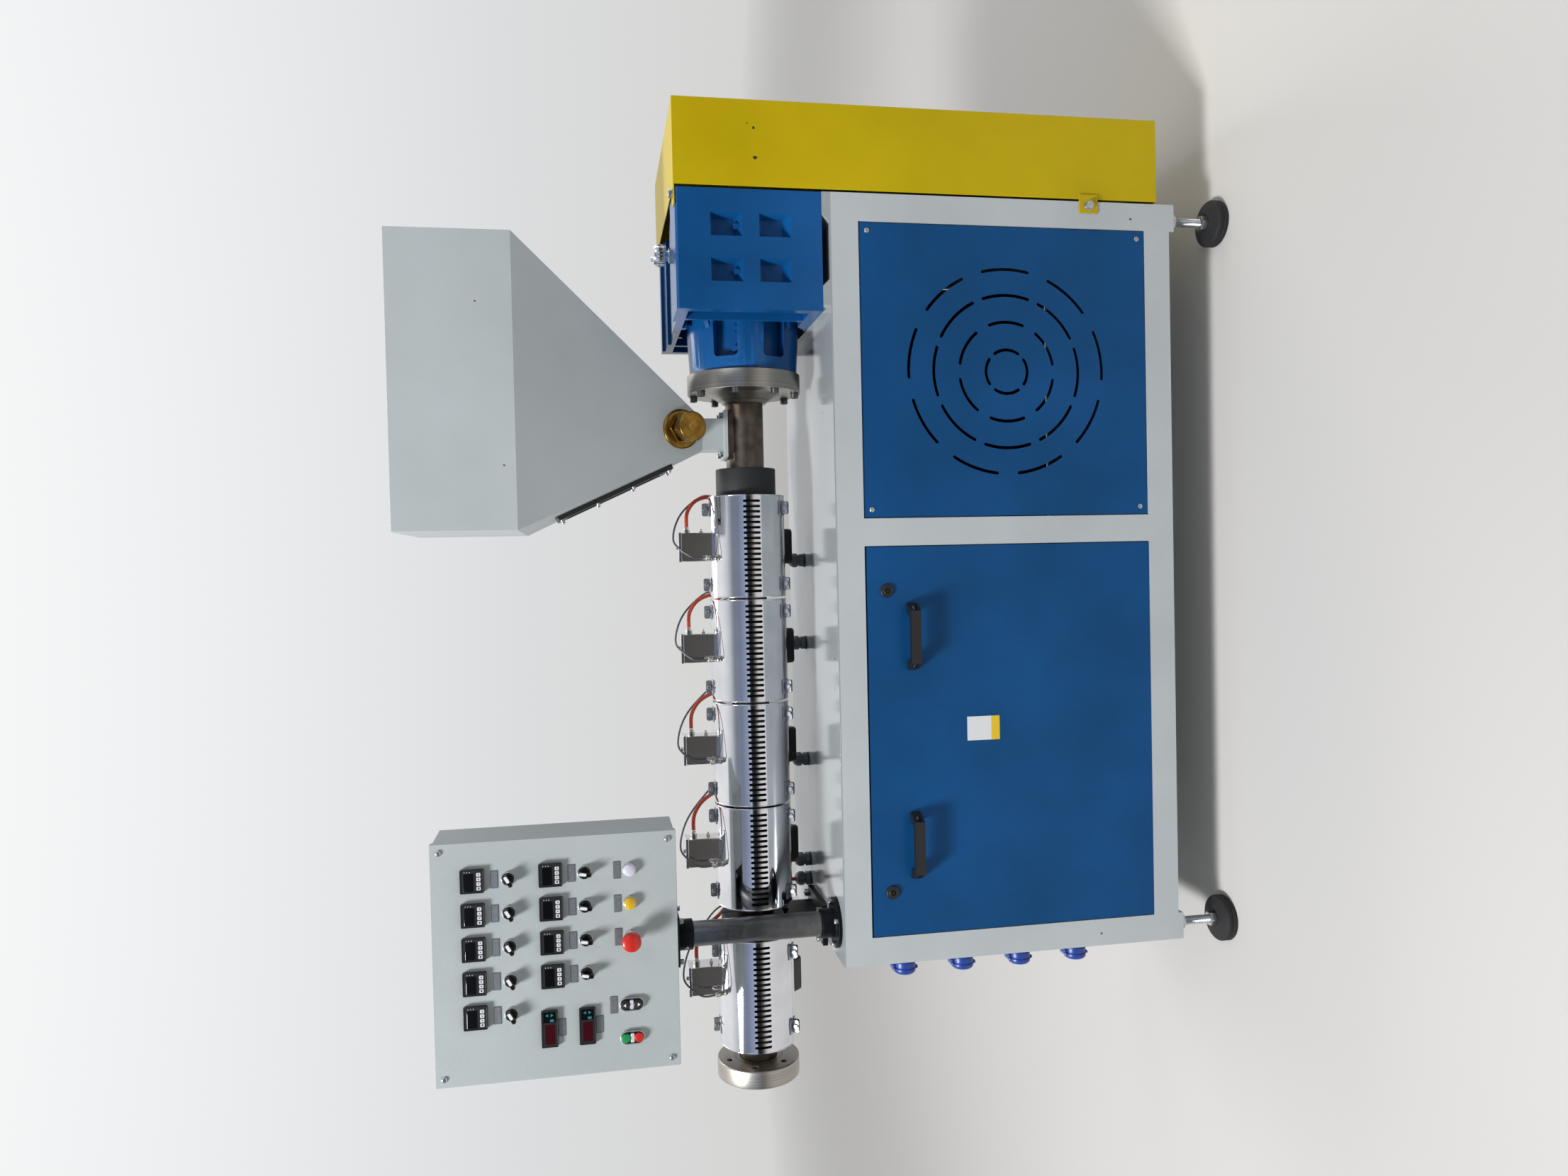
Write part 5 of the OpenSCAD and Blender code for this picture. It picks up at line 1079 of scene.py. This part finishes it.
# Brass gone brown, bright only where keys turn it
worn_brass = metal("worn_brass", "6E5222", "A37E38", 0.3, 22, 0.04)
plug = bmesh.new()
join_into(plug, turned([(0, -1), (45, -1), (45, 4), (41, 7), (0, 7)], 64, 0.6), PLUG_PLACE)
join_into(plug, hex_head(64, 14), PLUG_PLACE @ Matrix.Translation((0, 0, 7)))
join_into(plug, turned([
    (0, 20), (26, 20), (26, 24), (24.6, 24.6), (24.6, 26.4), (26, 27), (26, 31), (0, 31)], 56, 0.3), PLUG_PLACE)
skewed = PLUG_PLACE @ Matrix.Translation((0, 0, 30)) @ Matrix.Rotation(math.radians(12), 4, "Z")
join_into(plug, hex_head(60, 18), skewed)
join_into(plug, turned([
    (0, 47.8), (33, 47.8), (33, 60), (31, 62), (17, 62), (17, 60.5), (13, 60.5), (13, 62), (3, 62), (0, 61)],
    64, 0.4), PLUG_PLACE)
add_piece("brass_plug", plug, worn_brass, ("drain_plug",))


# Mast: a drawn steel tube in a flanged base, bolted to the table, with a square head under the control box.
MAST_X, MAST_Y = 79, 68
MAST_TOP = 1279.5

# Drawn tube, dark and satin
satin_tube = metal("satin_tube", "5E5F61", "77787A", 0.3, 40)
mast_place = Matrix.Translation((MAST_X, MAST_Y, 0))
mast = bmesh.new()
tube = turned([(24, 934), (27, 934), (27, MAST_TOP), (24, MAST_TOP), (24, 934)], 64, 0.4)
join_into(mast, tube, mast_place, slot=0)
join_into(mast, turned([
    (27.2, 925), (55, 925), (55, 933), (33.5, 933), (32, 934.5), (32, 963), (27.2, 963),
    (27.2, 925)], 72, 1.0, 3),
    mast_place, slot=1)
join_into(mast, turned([
    (27.2, MAST_TOP - 32), (31, MAST_TOP - 32), (33, MAST_TOP - 30), (33, MAST_TOP), (27.2, MAST_TOP),
    (27.2, MAST_TOP - 32)], 64, 0.8), mast_place, slot=1)
join_into(mast, plate(rounded_outline(108, 108, 6), MAST_TOP, MAST_TOP + 8, 1), mast_place, slot=1)
join_into(mast, cap_head(8), *[
    facing((MAST_X + 45 * math.cos(a), MAST_Y + 45 * math.sin(a), 933), (0, 0, 1))
    for a in [math.radians(20 + 90 * k) for k in range(4)]], slot=2)
join_into(mast, cap_head(8), *[
    facing((MAST_X + x, MAST_Y + y, MAST_TOP), (0, 0, -1)) for x in (-44, 44) for y in (-44, 44)], slot=2)
side = mast_place @ Matrix.Rotation(math.radians(-35), 4, "Z")
join_into(mast, cap_head(6), side @ facing((0, -31.5, MAST_TOP - 16)), slot=2)
add_piece("mast", mast, (satin_tube, black_oxide, zinc_plate), ("mast_tube", "mast_fittings"))


# Control box: folded steel door over a slightly smaller case, in light grey textured paint, closed by four
# domed screws at the door's corners.
BOX_LEFT, BOX_FRONT, BOX_BOTTOM, BOX_SIDE = -174, -2, 1285, 500
BOX_DEPTH, CASE_STEP, DOOR_FOLD = 140, 2.5, 15
CORNER_SCREW = 18


def on_panel(spot):
    """Out of the control box's front, counted from its lower left corner."""
    return facing((BOX_LEFT + spot[0], BOX_FRONT, BOX_BOTTOM + spot[1]))


# Light grey powder coat with a coarser texture than on the frame
textured_box_paint = painted("textured_box_paint", "A7AFB0", "AEB6B7", 3.5, 0.25, 0.45)
box_middle = on_panel((BOX_SIDE / 2, BOX_SIDE / 2))
case_side = BOX_SIDE - 2 * CASE_STEP
box = bmesh.new()
join_into(box, plate(rounded_outline(BOX_SIDE, BOX_SIDE, 2.5, 4), -DOOR_FOLD, 0, 1.0, 3), box_middle)
case = plate(rounded_outline(case_side, case_side, 3, 4), -BOX_DEPTH, -DOOR_FOLD - 0.5, 1.0, 3)
join_into(box, case, box_middle)
add_piece("door_and_case", box, textured_box_paint, ("control_box",))
dome_screws = bmesh.new()
dome = turned([(0, 1.9), (2.3, 1.9), (2.3, 4.3), (4.2, 3.9), (5.8, 2.6), (6.8, 0.4), (6.8, 0)], 28, 0.15)
join_into(dome_screws, six_sided(dome, 2.4, 1), *[
    on_panel((u, v)) for u in (CORNER_SCREW, BOX_SIDE - CORNER_SCREW)
    for v in (CORNER_SCREW, BOX_SIDE - CORNER_SCREW)])
add_piece("door_screws", dome_screws, zinc_plate)


# Temperature controllers: nine 48 mm instruments snapped into the door, each with a dark window over its
# digits, four pale keys and three marks beside the window.
FIRST_COLUMN, COLUMN_PITCH, LOWER_SHIFT = 140.5, 70.2, 2
COLUMNS = [FIRST_COLUMN + COLUMN_PITCH * i for i in range(5)]
LOWER_COLUMNS = [u + LOWER_SHIFT for u in COLUMNS[1:]]
CONTROLLER_SPOTS = [(u, 416.5) for u in COLUMNS] + [(u, 260) for u in LOWER_COLUMNS]

# Moulded black ABS, satin
black_abs = moulded("black_abs", "1A1B1D", 0.4)
# Tinted acrylic window over dark digits, polished
window_black = new_finish("window_black", "0B0C0E", 0.08, Coat_Weight=1.0, Coat_Roughness=0.03)[0]
# Silicone keys, off-white and matt
key_white = moulded("key_white", "D5D8DC", 0.45)
controllers = bmesh.new()
places = [on_panel(spot) for spot in CONTROLLER_SPOTS]
bezel = rounded_outline(48, 48, 2.5, 4)
join_into(controllers, plate(bezel, 0.1, 7, 0.4), *places, slot=0)
join_into(controllers, holed_plate(bezel, rounded_outline(44, 44, 1.6, 4), 6.9, 9, 0.6), *places, slot=0)
join_into(controllers, plate(rounded_outline(43.8, 43.8, 1.6, 4), 6.9, 8, 0.2), *places, slot=0)
glass = [(x - 1.7, y + 6.3) for x, y in rounded_outline(36.5, 20.4, 1.4, 4)]
join_into(controllers, plate(glass, 7.9, 8.6, 0.25), *places, slot=1)
for k in range(4):
    x = -14.1 + 9.4 * k
    key = [(x + a, b - 13.6) for a, b in rounded_outline(7.4, 8.4, 1.2, 3)]
    join_into(controllers, plate(key, 7.9, 9, 0.35), *places, slot=2)
    glyph = ([(-2, -1.6), (2, -1.6), (2, 1.6), (-2, 1.6)], [(1.2, -2), (1.2, 2), (-2, 0)],
             [(-2, 1.2), (0, -2), (2, 1.2)], [(2, -1.2), (0, 2), (-2, -1.2)])[k]
    join_into(controllers, plate([(x + a, b - 13.6) for a, b in glyph], 8.9, 9.1), *places, slot=0)
for y in (14.3, 9.1, 3.9):
    join_into(controllers, block((18.6, y - 0.6, 7.9), (20.6, y + 0.6, 8.15)), *places, slot=2)
join_into(controllers, block((-22.4, -22.4, -48), (22.4, 22.4, 0.2), 0.5, 1), *places, slot=0)
add_piece("panel_controllers", controllers, (black_abs, window_black, key_white), ("temperature_controllers",))


# Process displays: two wide instruments with a dark red filter over the digits and teal setting keys.
DISPLAY_SPOTS = ((104, 269), (103, 192))

# Red acrylic filter, nearly black while no digit is lit
red_filter = new_finish("red_filter", "3A0B12", 0.1, Coat_Weight=1.0, Coat_Roughness=0.03)[0]
# Keys printed in teal on a membrane
teal_print = moulded("teal_print", "1E7A86", 0.4)
displays = bmesh.new()
places = [on_panel(spot) for spot in DISPLAY_SPOTS]
bezel = rounded_outline(76, 34, 2.5, 4)
join_into(displays, plate(bezel, 0.1, 6.2, 0.4), *places, slot=0)
join_into(displays, holed_plate(bezel, rounded_outline(72.4, 30.4, 1.6, 4), 6.1, 8, 0.6), *places, slot=0)
join_into(displays, plate(rounded_outline(72.2, 30.2, 1.6, 4), 6.1, 7, 0.2), *places, slot=0)
glass = [(x - 11.2, y - 0.5) for x, y in rounded_outline(40.6, 20.8, 1.2, 4)]
join_into(displays, plate(glass, 6.9, 7.5, 0.2), *places, slot=1)
keypad = [(x + 24.7, y) for x, y in rounded_outline(22, 26, 1.6, 4)]
join_into(displays, plate(keypad, 6.9, 7.3, 0.2), *places, slot=3)
join_into(displays, plate([(25.6, 2.4), (32.4, 2.4), (29, 8.4)], 7.2, 7.6, 0.1), *places, slot=2)
join_into(displays, plate([(25.6, -2.4), (29, -8.4), (32.4, -2.4)], 7.2, 7.6, 0.1), *places, slot=2)
key = [(x + 18, y - 4.8) for x, y in rounded_outline(5, 7.6, 1, 3)]
join_into(displays, plate(key, 7.2, 7.6, 0.1), *places, slot=2)
join_into(displays, block((-34.8, -13.8, -48), (34.8, 13.8, 0.2), 0.5, 1), *places, slot=0)
add_piece("panel_displays", displays, (black_abs, red_filter, teal_print, window_black), ("process_displays",))


# Selector switches: nine rotary switches, each a glossy black knob with a grip across it in a satin
# ring. The grip carries a white insert. The knob turns with its own body.
SELECTOR_SPOTS = [(u, 345) for u in COLUMNS] + [(u, 191) for u in LOWER_COLUMNS]
UPPER_TURN, LOWER_TURN = -60, -10
BUTTON_ROW = 98
STOP_SPOT = (COLUMNS[2], BUTTON_ROW)

# Polished black polyamide of the knobs, which catches one bright streak
glossy_black = moulded("glossy_black", "0F1011", 0.2, 3, 0.02)
# White ABS insert
insert_white = moulded("insert_white", "E2E3E4", 0.4)
# Die-cast zinc, satin chromium-plated
satin_ring = metal("satin_chrome", "C2C4C7", "DCDEE0", 0.34, 10)
rings = bmesh.new()
join_into(rings, turned([
    (12.8, -1), (14.5, 0), (14.5, 3), (13.6, 4.8), (12.8, 4.8), (12.7, 2), (9, 2), (9, -18), (11, -18), (11, -1),
    (12.8, -1)], 48, 0.3), *[on_panel(spot) for spot in SELECTOR_SPOTS])
join_into(rings, turned([
    (8, 10), (8, -18), (11, -18), (11, -0.2), (14.5, 0), (14.5, 8), (13, 10), (8, 10)],
    48, 0.4), on_panel(STOP_SPOT))
add_piece("switch_rings", rings, satin_ring, ("switch_bezels",))
for i, spot in enumerate(SELECTOR_SPOTS):
    knob = bmesh.new()
    turn = on_panel(spot) @ Matrix.Rotation(math.radians(UPPER_TURN if i < len(COLUMNS) else LOWER_TURN), 4, "Z")
    join_into(knob, turned([
        (0, -18.8), (8.6, -18.8), (8.6, 2.4), (12.3, 2.4), (12.3, 7.6), (11, 9.6), (0, 9.9)],
        48, 0.4), turn, slot=0)
    grip = plate(rounded_outline(9, 27, 4, 6), 9.6, 21.8, 1.6, 3)
    join_into(knob, grip, turn @ Matrix.Translation((0, -1.5, 0)), slot=0)
    pointer = plate(rounded_outline(6.4, 15, 2.6, 6), 21.5, 22.1, 0.25)
    join_into(knob, pointer, turn @ Matrix.Translation((0, 3, 0)), slot=1)
    add_piece(f"selector_knob_{i + 1}", knob, (glossy_black, insert_white), (f"selector_{i + 1}",),
              f"selector_{i + 1}")


# Double push buttons: a start and stop pair in green and red, and a raise and lower pair in black with
# arrows, each with a small lens between its buttons.
DOUBLE_SPOTS = [(u, BUTTON_ROW + 2) for u in (COLUMNS[0] - COLUMN_PITCH, COLUMNS[0])]

# Coloured polyamide, semi-gloss
green_button = moulded("green_button", "1F8A4C", 0.3)
red_button = moulded("red_button", "C4281E", 0.28)
# Milky polycarbonate over an unlit lamp, glossy
lilac_lens = moulded("lilac_lens", "CFCBDD", 0.15, Coat_Weight=0.6)
buttons = bmesh.new()
places = [on_panel(spot) for spot in DOUBLE_SPOTS]
outer = rounded_outline(28, 51, 13.9, 10)
inner = rounded_outline(23.6, 46.6, 11.7, 10)
join_into(buttons, holed_plate(outer, inner, 0.1, 7, 1.0, 3), *places, slot=0)
join_into(buttons, plate(rounded_outline(23.4, 46.4, 11.6, 10), 0.1, 5, 0.3), *places, slot=1)
join_into(buttons, turned([(0, -19.8), (10.9, -19.8), (10.9, 0.2), (0, 0.2)], 32), *places, slot=1)
join_into(buttons, plate(rounded_outline(19, 8, 2, 4), 4.8, 8.4, 0.9, 3), *places, slot=2)
for side, slot in ((1, 3), (-1, 4)):
    for place, finish in zip(places, (slot, 1)):
        button = turned([(0, 4.5), (9.6, 4.5), (9.6, 8.6), (8.6, 9.9), (5, 10.6), (0, 10.8)], 36, 0.3)
        join_into(buttons, button, place @ Matrix.Translation((0, side * 13.6, 0)), slot=finish)
    arrow = plate([(-4, -1.5), (4, -1.5), (0, 4)], 10.6, 11, 0.1)
    turn = Matrix.Rotation(0 if side > 0 else math.pi, 4, "Z")
    join_into(buttons, arrow, places[1] @ Matrix.Translation((0, side * 13.6, 0)) @ turn, slot=5)
add_piece("double_buttons", buttons,
          (satin_ring, black_abs, lilac_lens, green_button, red_button, insert_white), ("push_buttons",))


# Indicator lamps: domed lenses in thin plated rings, amber on the left and lilac-white on the right.
LAMP_SPOTS = [(u, BUTTON_ROW) for u in LOWER_COLUMNS[2:]]

# Amber polycarbonate, glossy
amber_lens = moulded("amber_lens", "D3AA22", 0.15, Coat_Weight=0.6)
lamps = bmesh.new()
for spot, slot in zip(LAMP_SPOTS, (1, 2)):
    place = on_panel(spot)
    join_into(lamps, turned([
        (13.4, 0.1), (14.5, 0.1), (14.5, 4), (14, 5), (13.4, 5), (13.4, 0.1)], 48, 0.2), place, slot=0)
    join_into(lamps, turned([
        (0, -19.8), (10.9, -19.8), (10.9, 0.2), (13.3, 0.2), (13.3, 8.6), (12.4, 11), (9, 12.8), (4, 13.7),
        (0, 13.9)], 48, 0.4), place, slot=slot)
add_piece("pilot_lamps", lamps, (satin_ring, amber_lens, lilac_lens), ("indicator_lamps",))


# Label plates: small grey anodised plates with a darker printed border, left bare.
LABEL_SPOTS = [
    *[(u, 373) for u in COLUMNS], *[(u, 217) for u in LOWER_COLUMNS],
    *[(u, v - 25) for u, v in DISPLAY_SPOTS],
    (COLUMNS[0], BUTTON_ROW + 39), *[(u, BUTTON_ROW + 26) for u in LOWER_COLUMNS[1:]],
]

# Grey anodised aluminium, satin, inside a border printed dark
anodised_grey = metal("anodised_grey", "8E9193", "9DA0A2", 0.45, 8)
border_grey = new_finish("border_grey", "55585A", 0.5)[0]
labels = bmesh.new()
places = [on_panel(spot) for spot in LABEL_SPOTS]
outline = rounded_outline(36, 15, 0.8, 3)
join_into(labels, holed_plate(outline, rounded_outline(33.6, 12.6, 0.6, 3), 0.05, 0.95), *places, slot=1)
join_into(labels, plate(rounded_outline(33.7, 12.7, 0.6, 3), 0.05, 1, 0.1, 1), *places, slot=0)
add_piece("bare_labels", labels, (anodised_grey, border_grey), ("label_plates",))


# Stop button: a red mushroom head on a black stem, pushed in against its spring.
mushroom = bmesh.new()
join_into(mushroom, turned([
    (0, -6), (7.6, -6), (7.6, 18), (12.6, 20.4)], 40), on_panel(STOP_SPOT), slot=1)
join_into(mushroom, turned([
    (0, 19), (12, 20), (18.6, 25.6), (19.8, 30), (19.8, 40), (18, 45), (12, 47.6), (0, 48)], 56, 0.6),
    on_panel(STOP_SPOT), slot=0)
add_piece("mushroom_head", mushroom, (red_button, black_nylon), ("stop_button",), "stop_button")
